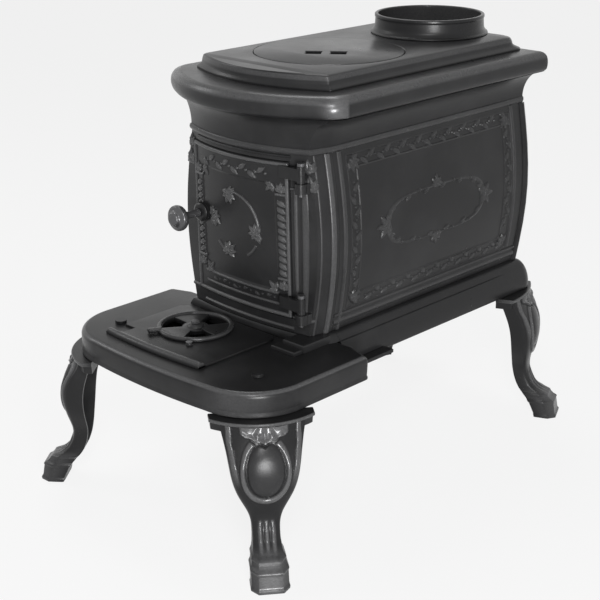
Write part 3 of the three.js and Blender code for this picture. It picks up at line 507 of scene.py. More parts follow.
def rounded(corners, steps=6, share=0.35):
    """A profile with its corners eased: each inner corner becomes a short curve between points on its two sides."""
    corners = np.asarray(corners, float)
    out = [corners[:1]]
    t = np.linspace(0, 1, steps)[:, None]
    for before, corner, after in zip(corners[:-2], corners[1:-1], corners[2:]):
        start, end = corner + (before - corner) * share, corner + (after - corner) * share
        out.append((1 - t) ** 2 * start + 2 * t * (1 - t) * corner + t**2 * end)
    out.append(corners[-1:])
    return np.concatenate(out)


print("plans, blocks and soft corners ready")

# %% [markdown]
# ## The body's swell
# The stove's four sides belly out between the base and the neck. The plan is drawn straight and then pushed out by
# half a sine wave of height, and the front's bow is a little deeper at the top than at the bottom. The same few
# lines give every point on the front, so the door, its frame and the corner pilasters all lie on one surface.

# %% The swelled front and sides
BODY_FOOT, BODY_TOP = 250.0, 494.5
BODY_HALF, CORNER_X, CORNER_Y, SIDE_Y = 118.0, 110.0, -143.0, -110.0
BODY_BACK = 306.0
FRONT_BOW, BOW_CHANGE, SWELL, STRAIGHT_HALF = 18.0, 8.0, 14.5, 98.0


def rise(z):
    """0 at the body's foot, 1 at its top."""
    return np.clip((z - BODY_FOOT) / (BODY_TOP - BODY_FOOT), 0, 1)


def belly(z):
    """How far the sides stand out at a height: half a sine wave."""
    return SWELL * np.sin(math.pi * rise(z))


def bowed_front(x):
    """The front's plan at mid height: a parabola across the width."""
    return CORNER_Y - FRONT_BOW * (1 - (x / CORNER_X) ** 2)


def swelled(x, y, z):
    """Moves plan points outwards by the belly, and the front by the change of its bow with height."""
    front = np.clip((SIDE_Y - y) / 20, 0, 1)
    middle = 1 - np.minimum(1, (x / CORNER_X) ** 2)
    side = np.clip((np.abs(x) - STRAIGHT_HALF) / (CORNER_X - STRAIGHT_HALF), 0, 1)
    moved_x = x + np.sign(x) * side * belly(z)
    moved_y = y - front * middle * BOW_CHANGE * (2 * rise(z) - 1)
    return np.stack(np.broadcast_arrays(moved_x, moved_y, z), axis=-1)


def ramp(value, start, end):
    """Smoothly from 0 at the start to 1 at the end."""
    t = np.clip((value - start) / (end - start), 0, 1)
    return t * t * (3 - 2 * t)


def pushed_out(points, height):
    """Moves each point of a grid along the surface's own normal, from the cross product of its two differences."""
    along_rows, along_columns = np.gradient(points, axis=0), np.gradient(points, axis=1)
    normal = np.cross(along_rows, along_columns)
    normal /= np.linalg.norm(normal, axis=-1, keepdims=True)
    return points + normal * height[..., None]


print("belly at mid height", belly(372.0), "mm")

# %% [markdown]
# ## Ornament as a height
# The castings' ornament is low relief: leaves, beads, ribs and a rope border, 1 to 3 mm high. Each motif is a
# small height field over the surface's own two coordinates, laid down where it belongs, and where two meet the
# higher one wins. Sculpting it as separate solids would need hundreds of objects; a height is one array.

# %% Ornament tools
class Relief:
    """A height in millimetres over a grid of two surface coordinates, a along the rows and b along the columns."""

    def __init__(self, a, b):
        self.a, self.b = a, b
        self.height = np.zeros((len(a), len(b)))

    def window(self, a, b, reach):
        """The part of the grid within reach of a point, as slices and as its two coordinate grids."""
        rows = slice(*np.searchsorted(self.a, (a - reach, a + reach)))
        columns = slice(*np.searchsorted(self.b, (b - reach, b + reach)))
        return (rows, columns), *np.meshgrid(self.a[rows], self.b[columns], indexing="ij")

    def raise_to(self, place, height):
        """Where motifs meet, the higher one wins."""
        self.height[place] = np.maximum(self.height[place], height)

    def leaf(self, a, b, degrees, long, wide, high):
        """A leaf from its stalk at (a, b): a dome across, pointed at the tip, with a groove down the middle."""
        place, x, y = self.window(a, b, long + wide)
        turn = math.radians(degrees)
        u = ((x - a) * math.cos(turn) + (y - b) * math.sin(turn)) / long
        v = -(x - a) * math.sin(turn) + (y - b) * math.cos(turn)
        inside = np.clip(u, 0, 1)
        half = 0.5 * wide * np.sin(math.pi * inside**0.7) ** 0.8 + 1e-6
        dome = np.sqrt(np.clip(1 - (v / half) ** 2, 0, 1)) * (0.6 + 0.4 * np.sin(math.pi * inside))
        vein = 1 - 0.35 * np.exp(-((v / 0.8) ** 2))
        self.raise_to(place, np.where((u > 0) & (u < 1), high * dome * vein, 0))

    def bead(self, a, b, radius, high):
        """A round bead: the top of a ball."""
        place, x, y = self.window(a, b, radius * 1.2)
        far = ((x - a) ** 2 + (y - b) ** 2) / radius**2
        self.raise_to(place, high * np.sqrt(np.clip(1 - far, 0, 1)))

    def rib(self, distance, half, high):
        """A half-round rib wherever a distance field is near zero."""
        self.height = np.maximum(self.height, high * np.sqrt(np.clip(1 - (distance / half) ** 2, 0, 1)))

    def spray(self, a, b, degrees, spread, long, wide, high, leaves=3):
        """Leaves fanned out from one stalk, with a bead on it."""
        for turn in np.linspace(-spread, spread, leaves):
            reach = long * (1 - 0.22 * abs(turn) / max(spread, 1))
            self.leaf(a, b, degrees + turn, reach, wide, high)
        self.bead(a, b, wide * 0.42, high * 1.1)

    def garland(self, start, end, pitch, lean, long, wide, high):
        """A running vine: a leaf at every pitch, leaning to either side by turns, and a bead between each two."""
        (a0, b0), (a1, b1) = start, end
        span, heading = math.hypot(a1 - a0, b1 - b0), math.atan2(b1 - b0, a1 - a0)
        for i in range(int(span / pitch)):
            t, between = (i + 0.5) * pitch / span, (i + 1) * pitch / span
            a, b = a0 + (a1 - a0) * t, b0 + (b1 - b0) * t
            self.leaf(a - 0.3 * long * math.cos(heading), b - 0.3 * long * math.sin(heading),
                      math.degrees(heading) + (lean if i % 2 else -lean), long, wide, high)
            self.bead(a0 + (a1 - a0) * between, b0 + (b1 - b0) * between, wide * 0.28, high * 0.8)


def box_distance(a, b, low, high):
    """Signed distance to a rectangle's outline: negative inside."""
    da = np.maximum(low[0] - a, a - high[0])
    db = np.maximum(low[1] - b, b - high[1])
    return np.where((da > 0) & (db > 0), np.hypot(da, db), np.maximum(da, db))


def relief_value(height, most=1.0):
    """How worn a point is: nothing on plain ground, up to the most where ornament stands 2.2 mm proud."""
    return most * np.clip(height / 2.2, 0, 1)


FAR = 99.0  # a distance at which a rib leaves no trace
print("relief tools ready")

# %% [markdown]
# ## Side panels
# Each side panel has a leaf-and-bead border round a plain field, an oval wreath in the middle, two mouldings along
# its foot and one down each end. The grid has about a point a millimetre, fine enough for a 6 mm leaf.

# %% Side panels
SIDE_BORDER = (-77.0, 288.0), (261.0, 479.0)
SIDE_WREATH = {"y": 92.0, "z": 379.0, "long": 104.0, "high": 35.0}
SIDE_GARLAND = (16.5, 32, 15, 7.5, 2.3)  # pitch, lean, and a leaf's length, width and height
SIDE_FOOT_RIBS = ((272.5, 2.6, 2.0), (262.5, 4.2, 2.6))  # where, half width, height of a rib
SIDE_FRONT_RIB, SIDE_REAR_RIB = (-98.5, 3.6, 2.2), (276.5, 3.2, 2.4)
OVAL_POWER = 3.2  # 2 is an ellipse; more is squarer
PANEL_THICK = 8.0


def side_relief(y, z):
    """The right panel's ornament, over distance along the stove and height."""
    carved = Relief(y, z)
    along, up = np.meshgrid(y, z, indexing="ij")
    (y0, z0), (y1, z1) = SIDE_BORDER
    for start, end in (((y0 + 14, z1), (y1 - 14, z1)), ((y1, z1 - 14), (y1, z0 + 14)),
                       ((y1 - 14, z0), (y0 + 14, z0)), ((y0, z0 + 14), (y0, z1 - 14))):
        carved.garland(start, end, *SIDE_GARLAND)
    for corner_y, corner_z, degrees in ((y0, z0, 45), (y1, z0, 135), (y1, z1, 225), (y0, z1, 315)):
        carved.spray(corner_y, corner_z, degrees, 75, 19, 8, 2.8, leaves=5)
    # a thin line inside and outside the garland
    for low, high in (((y0 + 9.5, z0 + 9), (y1 - 9.5, z1 - 9)), ((y0 - 9.5, z0 - 8.5), (y1 + 9.5, z1 + 8))):
        carved.rib(box_distance(along, up, low, high), 1.3, 0.9)
    wreath_on(carved, along, up)
    for z, half, high in SIDE_FOOT_RIBS:
        carved.rib(up - z, half, high)
    carved.rib(along - SIDE_FRONT_RIB[0], *SIDE_FRONT_RIB[1:])
    carved.rib(np.where(up > 278, along - SIDE_REAR_RIB[0], FAR), *SIDE_REAR_RIB[1:])
    return carved.height


def wreath_on(carved, along, up):
    """An oval vine: a rib along a rounded oval, beads and leaves by turns, and a spray at each end."""
    mid_y, mid_z = SIDE_WREATH["y"], SIDE_WREATH["z"]
    long, high = SIDE_WREATH["long"], SIDE_WREATH["high"]

    def size(u, v):
        """1 on the oval: |u|^p + |v|^p = 1."""
        return (np.abs(u) ** OVAL_POWER + np.abs(v) ** OVAL_POWER) ** (1 / OVAL_POWER)

    carved.rib((size((along - mid_y) / long, (up - mid_z) / high) - 1) * high, 1.4, 1.3)
    for degrees in np.arange(0, 360, 10.0):
        turn = math.radians(degrees)
        reach = 1 / size(math.cos(turn), math.sin(turn))
        a, b = mid_y + long * reach * math.cos(turn), mid_z + high * reach * math.sin(turn)
        heading = math.degrees(math.atan2(high * math.cos(turn), -long * math.sin(turn)))
        if int(degrees / 10) % 2:
            carved.bead(a, b, 2.4, 2.1)
        else:
            carved.leaf(a, b, heading + 28, 13, 6.5, 2.3)
    for end, degrees in ((mid_y - long - 4, 180), (mid_y + long + 4, 0)):
        carved.spray(end, mid_z, degrees, 105, 22, 9.5, 2.9, leaves=5)
    for edge, degrees in ((mid_z - high, 270), (mid_z + high, 90)):
        carved.spray(mid_y, edge, degrees, 80, 16, 8, 2.7, leaves=5)


def side_panel_shell(hand):
    """The panel's outer face is its ornament on the belly; its inner face is the same belly, plain, 8 mm in."""
    y = np.linspace(SIDE_Y + GAP, BODY_BACK - PANEL_THICK - GAP, 372)
    z = np.linspace(BODY_FOOT + GAP, BODY_TOP - GAP, 226)
    height = side_relief(y, z)
    along, up = np.meshgrid(y, z, indexing="ij")
    front, back = (np.stack([hand * (BODY_HALF + belly(up) + out), along, up], axis=-1)
                   for out in (height, -PANEL_THICK))
    return sheet_shell(front, back, relief_value(height, 0.3))


for hand, side in ((1, "right"), (-1, "left")):
    make_piece(f"side_casting_{side}", [side_panel_shell(hand)], black_iron, "stove", [f"side_panel_{side}"])

# %% [markdown]
# ## Corner pilasters and rails
# The front frame is one casting with a moulded strip up each corner: two ribs beside the door, a plain face with
# a leaf capital, and two ribs on the chamfer. Its mouldings follow the distance round the corner, so the strip is
# a sheet over that distance and the height. Plain rails close the frame above and below the door.

# %% Pilasters
SUNK = 0.8  # how far the backs of the mouldings lie inside the frame
CHAMFER_LONG = math.hypot(BODY_HALF - CORNER_X, SIDE_Y - CORNER_Y)
SHAFT_FOOT, SHAFT_HEAD = 276.0, 448.0
FACE_RIBS = ((91.5, 2.6, 1.7), (101.5, 2.4, 1.7))  # distance from the middle, half width, height
CHAMFER_RIBS = ((0.17, 1.8, 1.3), (0.74, 4.6, 2.3))  # share of the chamfer, half width, height


def corner_plan(distance, start):
    """Plan points at distances from x = start: along the bowed front to the corner, then down the chamfer."""
    face = CORNER_X - start
    x = start + np.minimum(distance, face)
    t = np.clip((distance - face) / CHAMFER_LONG, 0, 1)
    y = np.where(distance <= face, bowed_front(x), CORNER_Y + (SIDE_Y - GAP - CORNER_Y) * t)
    return np.where(distance <= face, x, CORNER_X + (BODY_HALF - CORNER_X) * t), y


def pilaster_relief(distance, z, start):
    """Ribs at set distances round the corner, a base and a capital, and leaves on the capital."""
    carved = Relief(distance, z)
    across, up = np.meshgrid(distance, z, indexing="ij")
    face = CORNER_X - start
    shaft = (up > SHAFT_FOOT) & (up < SHAFT_HEAD)
    for x, half, high in FACE_RIBS:
        if x > start + 3:
            carved.rib(np.where(shaft, across - (x - start), FAR), half, high)
    for share, half, high in CHAMFER_RIBS:
        carved.rib(across - (face + share * CHAMFER_LONG), half, high)
    for z in (SHAFT_HEAD + 4, SHAFT_HEAD + 26):
        carved.spray(face - 3, z, 90, 62, 17, 7.5, 2.6, leaves=5)
    for z in (SHAFT_HEAD + 1.5, SHAFT_FOOT - 4):
        carved.rib(np.where(across < face + 4, up - z, FAR), 2.2, 1.9)
    return carved.height


def pilaster_shell(hand, start):
    """The strip's front is the swelled corner pushed out by its ornament; its back lies just inside the frame."""
    distance = np.linspace(0, CORNER_X - start + CHAMFER_LONG, 110)
    z = np.linspace(BODY_FOOT + 0.4, BODY_TOP - 0.4, 300)
    height = pilaster_relief(distance, z, start) + 0.15
    x, y = corner_plan(distance, start)
    ground = swelled(x[:, None], y[:, None], z[None, :])
    front, back = (pushed_out(ground, out) * (hand, 1, 1) for out in (height, np.full_like(height, -SUNK)))
    return sheet_shell(front, back, relief_value(height, 0.6))


def rail_shell(z0, z1, half, rib_at, worn):
    """A plain rail across the front with one rib along it."""
    x, z = np.linspace(-half, half, 160), np.linspace(z0, z1, 24)
    carved = Relief(x, z)
    across, up = np.meshgrid(x, z, indexing="ij")
    carved.rib(up - rib_at, 1.8, 2.0)
    ground = swelled(across, bowed_front(across), up)
    front = pushed_out(ground, carved.height + 0.12)
    return sheet_shell(front, pushed_out(ground, np.full_like(across, -SUNK)), relief_value(carved.height, worn))


pilasters = [pilaster_shell(1, 85.4), pilaster_shell(-1, 99.4)]
rails = [rail_shell(485.3, 494.1, 86, 491.5, 0), rail_shell(250.4, 268.8, 86, 256, 0.6)]
make_piece("front_mouldings", pilasters + rails, black_iron, "stove")

# %% [markdown]
# ## The feed door
# The door carries the richest ornament: a raised frame round its edge, a leaf garland along its head, a rope of
# slanted lobes down each side between two bars, a double bead along its foot, and a broken wreath in the middle,
# four sprays on one circle with a stem between two of them. The plain door of the frame stays underneath with its
# hinge arms; this is its face.

# %% Door face
DOOR_LEFT, DOOR_RIGHT, DOOR_FOOT, DOOR_HEAD = -97.6, 83.6, 270.4, 483.6
FIELD_LEFT, FIELD_RIGHT, FIELD_FOOT, FIELD_HEAD = -79.0, 64.0, 304.0, 455.0  # sunk, between the ropes
ROPE_X, ROPE_FOOT, ROPE_HEAD, ROPE_PITCH = (72.5, -86.5), 326.0, 437.0, 9.6
WREATH_X, WREATH_Z, WREATH_R = -12.0, 384.0, 46.0
WREATH_STEMS = ((-8, 105, 2.3), (160, 34, 1.8), (222, 32, 1.8), (300, 30, 1.2))  # first angle, sweep, height
WREATH_SPRAYS = (97, 352, 252, 177)
DOOR_BARS = ((302, 2.0, 1.9), (287, 1.8, 1.6))  # height on the door, half width, how high it stands
VINE_Z, BEADS_Z = 465.0, 294.5


def rope_on(carved, x):
    """Slanted lobes one above the other, then a bar and a spray at each end."""
    slant = -28 if x > 0 else 208
    turn = math.radians(slant)
    for i in range(int((ROPE_HEAD - ROPE_FOOT) / ROPE_PITCH)):
        z = ROPE_FOOT + (i + 0.5) * ROPE_PITCH
        carved.leaf(x - 7.5 * math.cos(turn), z - 7.5 * math.sin(turn), slant, 15, 8.5, 2.6)
        carved.bead(x, z, 4.2, 2.5)
    across, up = np.meshgrid(carved.a, carved.b, indexing="ij")
    for z in (ROPE_FOOT - 2.5, ROPE_HEAD + 2.5):
        carved.rib(np.where(np.abs(across - x) < 9, up - z, FAR), 2.2, 2.4)
    for z in (ROPE_FOOT - 16, ROPE_HEAD + 7):
        carved.spray(x, z, 90, 70, 13, 7, 2.6, leaves=5)


def medallion_on(carved, across, up):
    """A broken wreath: four sprays on one circle, a stem between the first two and a short tail at the others."""
    ring = np.hypot(across - WREATH_X, up - WREATH_Z) - WREATH_R
    angle = np.degrees(np.arctan2(up - WREATH_Z, across - WREATH_X))
    for first, sweep, height in WREATH_STEMS:
        carved.rib(np.where((angle - first) % 360 < sweep, ring, FAR), 1.9, height)
    for quarter in WREATH_SPRAYS:
        a, b = turned(np.array([WREATH_R - 3, 0]), quarter, (WREATH_X, WREATH_Z))
        carved.spray(a, b, quarter + 150, 78, 17, 8.5, 3.4, leaves=5)
        carved.spray(a, b, quarter - 60, 30, 14, 7, 3.1, leaves=3)
        carved.bead(a, b, 4.5, 3.4)


def door_relief(x, z):
    """All of the door's ornament, on a field that is sunk a little inside the frame."""
    carved = Relief(x, z)
    across, up = np.meshgrid(x, z, indexing="ij")
    carved.rib(box_distance(across, up, (DOOR_LEFT + 3, DOOR_FOOT + 3), (DOOR_RIGHT - 3, DOOR_HEAD - 3)), 2.8, 2.3)
    carved.garland((-74, VINE_Z), (60, VINE_Z), 15.5, 35, 15, 7.5, 2.4)
    for z, half, high in DOOR_BARS:
        carved.rib(np.where((across > FIELD_LEFT) & (across < FIELD_RIGHT), up - z, FAR), half, high)
    carved.garland((-70, BEADS_Z), (56, BEADS_Z), 21, 20, 9, 4.5, 1.2)
    for rope in ROPE_X:
        rope_on(carved, rope)
    for x0, degrees in ((58, 135), (-72, 45)):
        carved.spray(x0, 306, degrees, 60, 15, 7.5, 2.5)
        carved.spray(x0, 451, -degrees, 60, 13, 7, 2.3)
    medallion_on(carved, across, up)
    field = box_distance(across, up, (FIELD_LEFT, FIELD_FOOT), (FIELD_RIGHT, FIELD_HEAD))
    return 1.6 - 1.1 * ramp(-field, 0, 3.0), carved.height


def door_face_shell():
    """The door's face: the swelled front pushed out by its ground and ornament; its back lies inside the door."""
    x = np.linspace(DOOR_LEFT, DOOR_RIGHT, 262)
    z = np.linspace(DOOR_FOOT, DOOR_HEAD, 308)
    ground, ornament = door_relief(x, z)
    surface = swelled(x[:, None], bowed_front(x)[:, None], z[None, :])
    front = pushed_out(surface, ground + ornament - 0.6)
    return sheet_shell(front, pushed_out(surface, np.full_like(ground, -4.0)), relief_value(ornament, 0.75))


make_piece("door_face", [door_face_shell()], black_iron, "door")

# %% [markdown]
# ## The knob
# The knob is a mushroom on a waisted barrel, standing on a round collar. A lathe profile gives both, turned about
# the latch's own axis, and both ride with the pieces that they stand for, so the knob turns when the latch does.

# %% Knob and collar
KNOB_X, KNOB_Z, KNOB_FACE, LATCH_BOSS = -81.0, 386.0, 211.0, 156.5  # face and boss: distances in front of y = 0
stem = LATCH_BOSS + 5.6
knob_profile = rounded([
    (0, stem), (6.5, stem), (5.3, stem + 6), (5.0, KNOB_FACE - 27), (8.2, KNOB_FACE - 21.5), (7.4, KNOB_FACE - 19),
    (16.5, KNOB_FACE - 17), (18, KNOB_FACE - 12.5), (17.4, KNOB_FACE - 8), (10.5, KNOB_FACE - 5.6),
    (9.2, KNOB_FACE - 1.2), (4.5, KNOB_FACE - 0.1), (0, KNOB_FACE),
])
make_piece("knob_turned", [lathe_shell(knob_profile, 96, (KNOB_X, 0, KNOB_Z), "y")], steel, "latch", ["door_knob"])
collar_foot = LATCH_BOSS + GAP
collar_profile = rounded([
    (0, collar_foot), (13, collar_foot), (13, LATCH_BOSS + 2.6), (9, LATCH_BOSS + 5.2), (0, LATCH_BOSS + 5.3),
])
collar = lathe_shell(collar_profile, 80, (KNOB_X, 0, KNOB_Z), "y")
make_piece("latch_collar_turned", [collar], black_iron, "door", ["latch_collar"])

# %% [markdown]
# ## The neck
# Between the body and the top lies a cove: a quarter of an ellipse that spreads from the body's plan to the top's
# plan, with a bead at its foot. Both plans have the same number of points, so each level of the cove is a blend
# of the two, and the whole neck is one stack of rings, closed through its inner wall.

# %% Neck
SLAB_FOOT, SLAB_TOP, SLAB_HALF, SLAB_FRONT, SLAB_BOW, SLAB_BACK = 545.2, 574.0, 158.0, -134.5, 66.0, 306.7
COVE_FOOT, BEAD_Z, BEAD_OUT, BEAD_HALF = 503.5, 499.2, 2.2, 4.2
NECK_OUT, NECK_IN = 0.6, -7.0  # the neck's two walls at the body's top, measured outwards from the body


def bow_points(half, front, bow, count=97):
    """A front edge from left to right: a parabola that stands out by the bow in the middle."""
    x = np.linspace(-half, half, count)
    return np.column_stack([x, front - bow * (1 - (x / half) ** 2)])


def line_points(start, end, count):
    """Evenly spaced points from start up to but not including end."""
    t = np.arange(count)[:, None] / count
    return np.asarray(start) + (np.asarray(end) - np.asarray(start)) * t


def five_sided(half_front, front, bow, half_side, side_y, back):
    """A bowed front, two chamfers, two sides and a back, counter-clockwise, always with the same point count."""
    corners = [(half_front, front), (half_side, side_y), (half_side, back), (-half_side, back), (-half_side, side_y),
               (-half_front, front)]
    runs = [line_points(a, b, n) for a, b, n in zip(corners[:-1], corners[1:], (12, 24, 24, 24, 12))]
    return np.concatenate([bow_points(half_front, front, bow)[:-1], *runs])


def body_plan(grow):
    """The body's plan at its top, grown outwards by a distance."""
    return five_sided(CORNER_X + 0.75 * grow, CORNER_Y - grow, FRONT_BOW + BOW_CHANGE, BODY_HALF + grow,
                      SIDE_Y - 0.4 * grow, BODY_BACK + min(grow, 0))


def slab_under(inset):
    """The top's plan where the cove meets it."""
    return five_sided(SLAB_HALF - inset, SLAB_FRONT + inset, SLAB_BOW - 4, SLAB_HALF - inset, SLAB_FRONT + inset + 2,
                      SLAB_BACK - inset + 3)


def cove_rings(foot_plan, head_plan):
    """A quarter of an ellipse from one plan out to another: height by the sine of a turn, spread by 1 - cosine."""
    rings = []
    for turn in np.linspace(0, math.pi / 2, 26):
        out = 1 - math.cos(turn)
        z = COVE_FOOT + (SLAB_FOOT - GAP - COVE_FOOT) * math.sin(turn)
        rings.append(level(foot_plan * (1 - out) + head_plan * out, z))
    return rings


def neck_shell():
    """Foot, half-round bead and cove outside; a cove 7 to 10 mm further in on the inside, down again."""
    bead = [level(body_plan(NECK_OUT + BEAD_OUT * math.cos(turn)), BEAD_Z + BEAD_HALF * math.sin(turn))
            for turn in np.linspace(-math.pi / 2, math.pi / 2, 12)]
    outside = [level(body_plan(NECK_OUT), BODY_TOP), *bead, *cove_rings(body_plan(NECK_OUT), slab_under(3))]
    inside = [level(body_plan(NECK_IN), BODY_TOP), *cove_rings(body_plan(NECK_IN), slab_under(13))]
    rings = np.array(outside + inside[::-1])
    worn = np.zeros(rings.shape[:2])
    # The bead is lightened a little, partly wear and partly a painted highlight along it.
    worn[1 : 1 + len(bead)] = 0.3
    return ring_shell(rings, hollow=True, relief=worn.ravel())


make_piece("neck_casting", [neck_shell()], black_iron, "stove", ["neck_frame"])

# %% [markdown]
# ## The top
# The top is a slab with a raised deck whose edge is a stepped ogee, and a round lobe that follows the flue collar
# past the deck's back. The outline has the lobe built in, so slab, ogee and deck are one stack of rings. The deck
# itself is flat with two round holes, so it is filled with triangles between the outlines; each hole goes down in
# rings of its own.

# %% Top plate
DECK_TOP, SEAT_Z, TOP_UNDER = 593.7, 587.2, 566.0
DECK_FOOT_SIZE = np.array([124.4, -118.4, 34.6, 298.9, 89.8])  # half width, front, bow, back, lobe radius
DECK_TOP_SIZE = np.array([112.2, -112.3, 36.7, 280.0, 85.8])
LID_Y, LID_R, LID_LEDGE, LID_THICK, LID_PROUD = 12.5, 103.0, 7.0, 7.0, 0.8
FLUE_Y, FLUE_R, FLUE_BORE, FLUE_FLANGE, FLUE_TOP = 230.0, 80.0, 75.0, 86.0, 621.6


def eased_front(half, front, bow, ease):
    """A bowed front whose two ends run into the sides by a curve drawn towards the corner that they would make."""
    x = np.linspace(ease - half, half - ease, 105)
    middle = np.column_stack([x, front - bow * (1 - (x / half) ** 2)])
    t = np.linspace(0, 1, 10)[1:, None]
    corner, side = np.array([half, front]), np.array([half, front + 1.2 * ease])
    end = (1 - t) ** 2 * middle[-1] + 2 * t * (1 - t) * corner + t**2 * side
    return np.concatenate([end[::-1] * (-1, 1), middle, end[:-1]])


def lobed_outline(half, front, bow, back, lobe, corner, ease=3.0):
    """Bowed front, straight sides, rounded back corners, and a back edge that swings out round the flue."""
    meet = math.sqrt(lobe**2 - (back - FLUE_Y) ** 2)
    start = math.atan2(back - FLUE_Y, meet)
    round_flue = circle_at(0, FLUE_Y, lobe, np.linspace(start, math.pi - start, 49))
    right = np.concatenate([line_points((half, front + 1.2 * ease), (half, back - corner), 30),
                            circle_at(half - corner, back - corner, corner, np.linspace(0, math.pi / 2, 9)),
                            line_points((half - corner, back), (meet, back), 6)[1:]])
    left = right[::-1] * (-1, 1)
    return np.concatenate([eased_front(half, front, bow, ease), right, round_flue, left[:-1]])


def ogee():
    """(share of the way in, share of the height) up the deck's edge: a foot, a hollow, a soft step and a round."""
    return rounded([(0, 0), (0, 0.13), (0.05, 0.17), (0.22, 0.25), (0.4, 0.34), (0.5, 0.42), (0.54, 0.5), (0.6, 0.72),
                    (0.72, 0.92), (1, 1)], steps=4, share=0.3)


# (inset, height above its foot) up the slab's face: rounded under, nearly upright, and a wide round over the top
SLAB_FACE = [(3.6, 0), (1.2, 1.4), (-0.6, 4), (-1.6, 8.5), (-1.8, 13), (-1.2, 18), (0.2, 22), (2.2, 25.4), (4.6, 27.6),
             (7, 28.6), (9.6, 28.9)]


def top_rings():
    """The hollow's wall, slab face with its slight flare, eased upper edge, slab top, then the deck's ogee."""
    size = (SLAB_HALF - 10, SLAB_FRONT + 10, SLAB_BOW - 4, SLAB_BACK - 8, 76)
    rings = [level(lobed_outline(*size, 3), z) for z in (TOP_UNDER, SLAB_FOOT)]
    for inset, up in SLAB_FACE:
        size = (SLAB_HALF - inset, SLAB_FRONT + inset, SLAB_BOW, SLAB_BACK - max(inset, 0), 91)
        rings.append(level(lobed_outline(*size, 2, 14), SLAB_FOOT + up))
    for inward, up in ogee():
        size = DECK_FOOT_SIZE + (DECK_TOP_SIZE - DECK_FOOT_SIZE) * inward
        rings.append(level(lobed_outline(*size, 20), SLAB_TOP + (DECK_TOP - SLAB_TOP) * up))
    return np.array(rings)


def circle_rings(x, y, steps, sides=120):
    """Rings about a vertical axis through (radius, height) pairs, from the top of a hole to its foot."""
    angle = np.linspace(0, 2 * math.pi, sides, endpoint=False)
    return stacked(lambda radius: circle_at(x, y, radius, angle), steps)


def plate_shell(rings, holes, relief=None):
    """A stack of rings whose top and foot are flat faces with the same holes; each hole is a stack, top to foot.

    All rings run counter-clockwise: going up, a wall faces outwards, and going down a hole it faces the hole."""
    points, quads = [rings.reshape(-1, 3)], [grid_quads(len(rings), rings.shape[1], wrap_columns=True)]
    tops = [np.arange(rings.shape[1]) + (len(rings) - 1) * rings.shape[1]]
    feet = [np.arange(rings.shape[1])]
    start = len(points[0])
    for hole in holes:
        rows, columns, _ = hole.shape
        points.append(hole.reshape(-1, 3))
        quads.append(grid_quads(rows, columns, wrap_columns=True) + start)
        tops.append(np.arange(columns) + start)
        feet.append(np.arange(columns) + start + (rows - 1) * columns)
        start += rows * columns
    top_faces = flat_triangles([rings[-1], *[hole[0] for hole in holes]])
    foot_faces = flat_triangles([rings[0], *[hole[-1] for hole in holes]])
    points = np.concatenate(points)
    top_faces, foot_faces = np.concatenate(tops)[top_faces], np.concatenate(feet)[foot_faces]
    tris = np.concatenate([facing(points, top_faces, 1), facing(points, foot_faces, -1)])
    value = None if relief is None else np.concatenate([relief, np.zeros(len(points) - len(relief))])
    return shell(points, np.concatenate(quads), tris, value)


def facing(points, tris, way):
    """Level triangles turned to face up (1) or down (-1)."""
    a, b, c = (points[tris[:, i], :2] for i in range(3))
    up = (b[:, 0] - a[:, 0]) * (c[:, 1] - a[:, 1]) - (c[:, 0] - a[:, 0]) * (b[:, 1] - a[:, 1])
    return np.where((up * way > 0)[:, None], tris, tris[:, ::-1])


def near_corners(ring, half, spread, ahead):
    """How near points are to the front corners: exp(-((|x| - half) / spread)^2), only where y is ahead of a line."""
    return np.exp(-(((np.abs(ring[:, 0]) - half) / spread) ** 2)) * (ring[:, 1] < ahead)


rings = top_rings()
# Rubbed edges on the slab's rounded top edge and the deck's upper round, partly wear and partly painted highlight.
rubbed_edges_and_highlights = np.zeros(rings.shape[:2])
rubbed_edges_and_highlights[8:11] = 0.7
rubbed_edges_and_highlights[-9:-3] = 0.5
# Painted highlight: the slab's rounded front corners are lightened where a lamp's reflection falls.
rubbed_edges_and_highlights[3:12] = np.maximum(rubbed_edges_and_highlights[3:12], 1.3 * near_corners(rings[2], 148, 11, -120))
lid_seat = circle_rings(0, LID_Y, [(LID_R + 1.7, DECK_TOP), (LID_R + 0.8, DECK_TOP - 0.9), (LID_R + 0.7, SEAT_Z),
                                   (LID_R - LID_LEDGE, SEAT_Z), (LID_R - LID_LEDGE, TOP_UNDER)])
flue_hole = circle_rings(0, FLUE_Y, [(FLUE_BORE - 5, DECK_TOP), (FLUE_BORE - 5, TOP_UNDER)], 96)
top_casting = plate_shell(rings, [lid_seat, flue_hole], rubbed_edges_and_highlights.ravel())
make_piece("top_casting", [top_casting], top_iron, "stove", ["top_plate"])

# %% [markdown]
# ## The flue collar
# A short spigot on a flange, with a thin bead round its rim. Two ears inside its bore take the screws. It is a
# lathe profile that closes on itself, because the collar is a ring.

# %% Flue collar
FLANGE_FOOT = DECK_TOP + GAP
collar_ring = rounded([
    (FLUE_BORE, FLANGE_FOOT), (FLUE_FLANGE, FLANGE_FOOT), (FLUE_FLANGE - 0.4, FLANGE_FOOT + 2.2),
    (FLUE_R + 3, FLANGE_FOOT + 3.6), (FLUE_R, FLANGE_FOOT + 8.5), (FLUE_R - 0.9, FLUE_TOP - 5.6),
    (FLUE_R + 0.1, FLUE_TOP - 4.2), (FLUE_R + 0.1, FLUE_TOP - 0.9), (FLUE_R - 0.9, FLUE_TOP),
    (FLUE_BORE + 0.6, FLUE_TOP), (FLUE_BORE, FLUE_TOP - 1), (FLUE_BORE, FLANGE_FOOT),
], steps=5, share=0.3)
ears = [block_shell(*sorted((side * 60, side * (FLUE_BORE + 2))), FLUE_Y - 9, FLUE_Y + 9, FLANGE_FOOT, FLANGE_FOOT + 5)
        for side in (1, -1)]
collar = lathe_shell(collar_ring[:-1], 160, (0, FLUE_Y, 0))
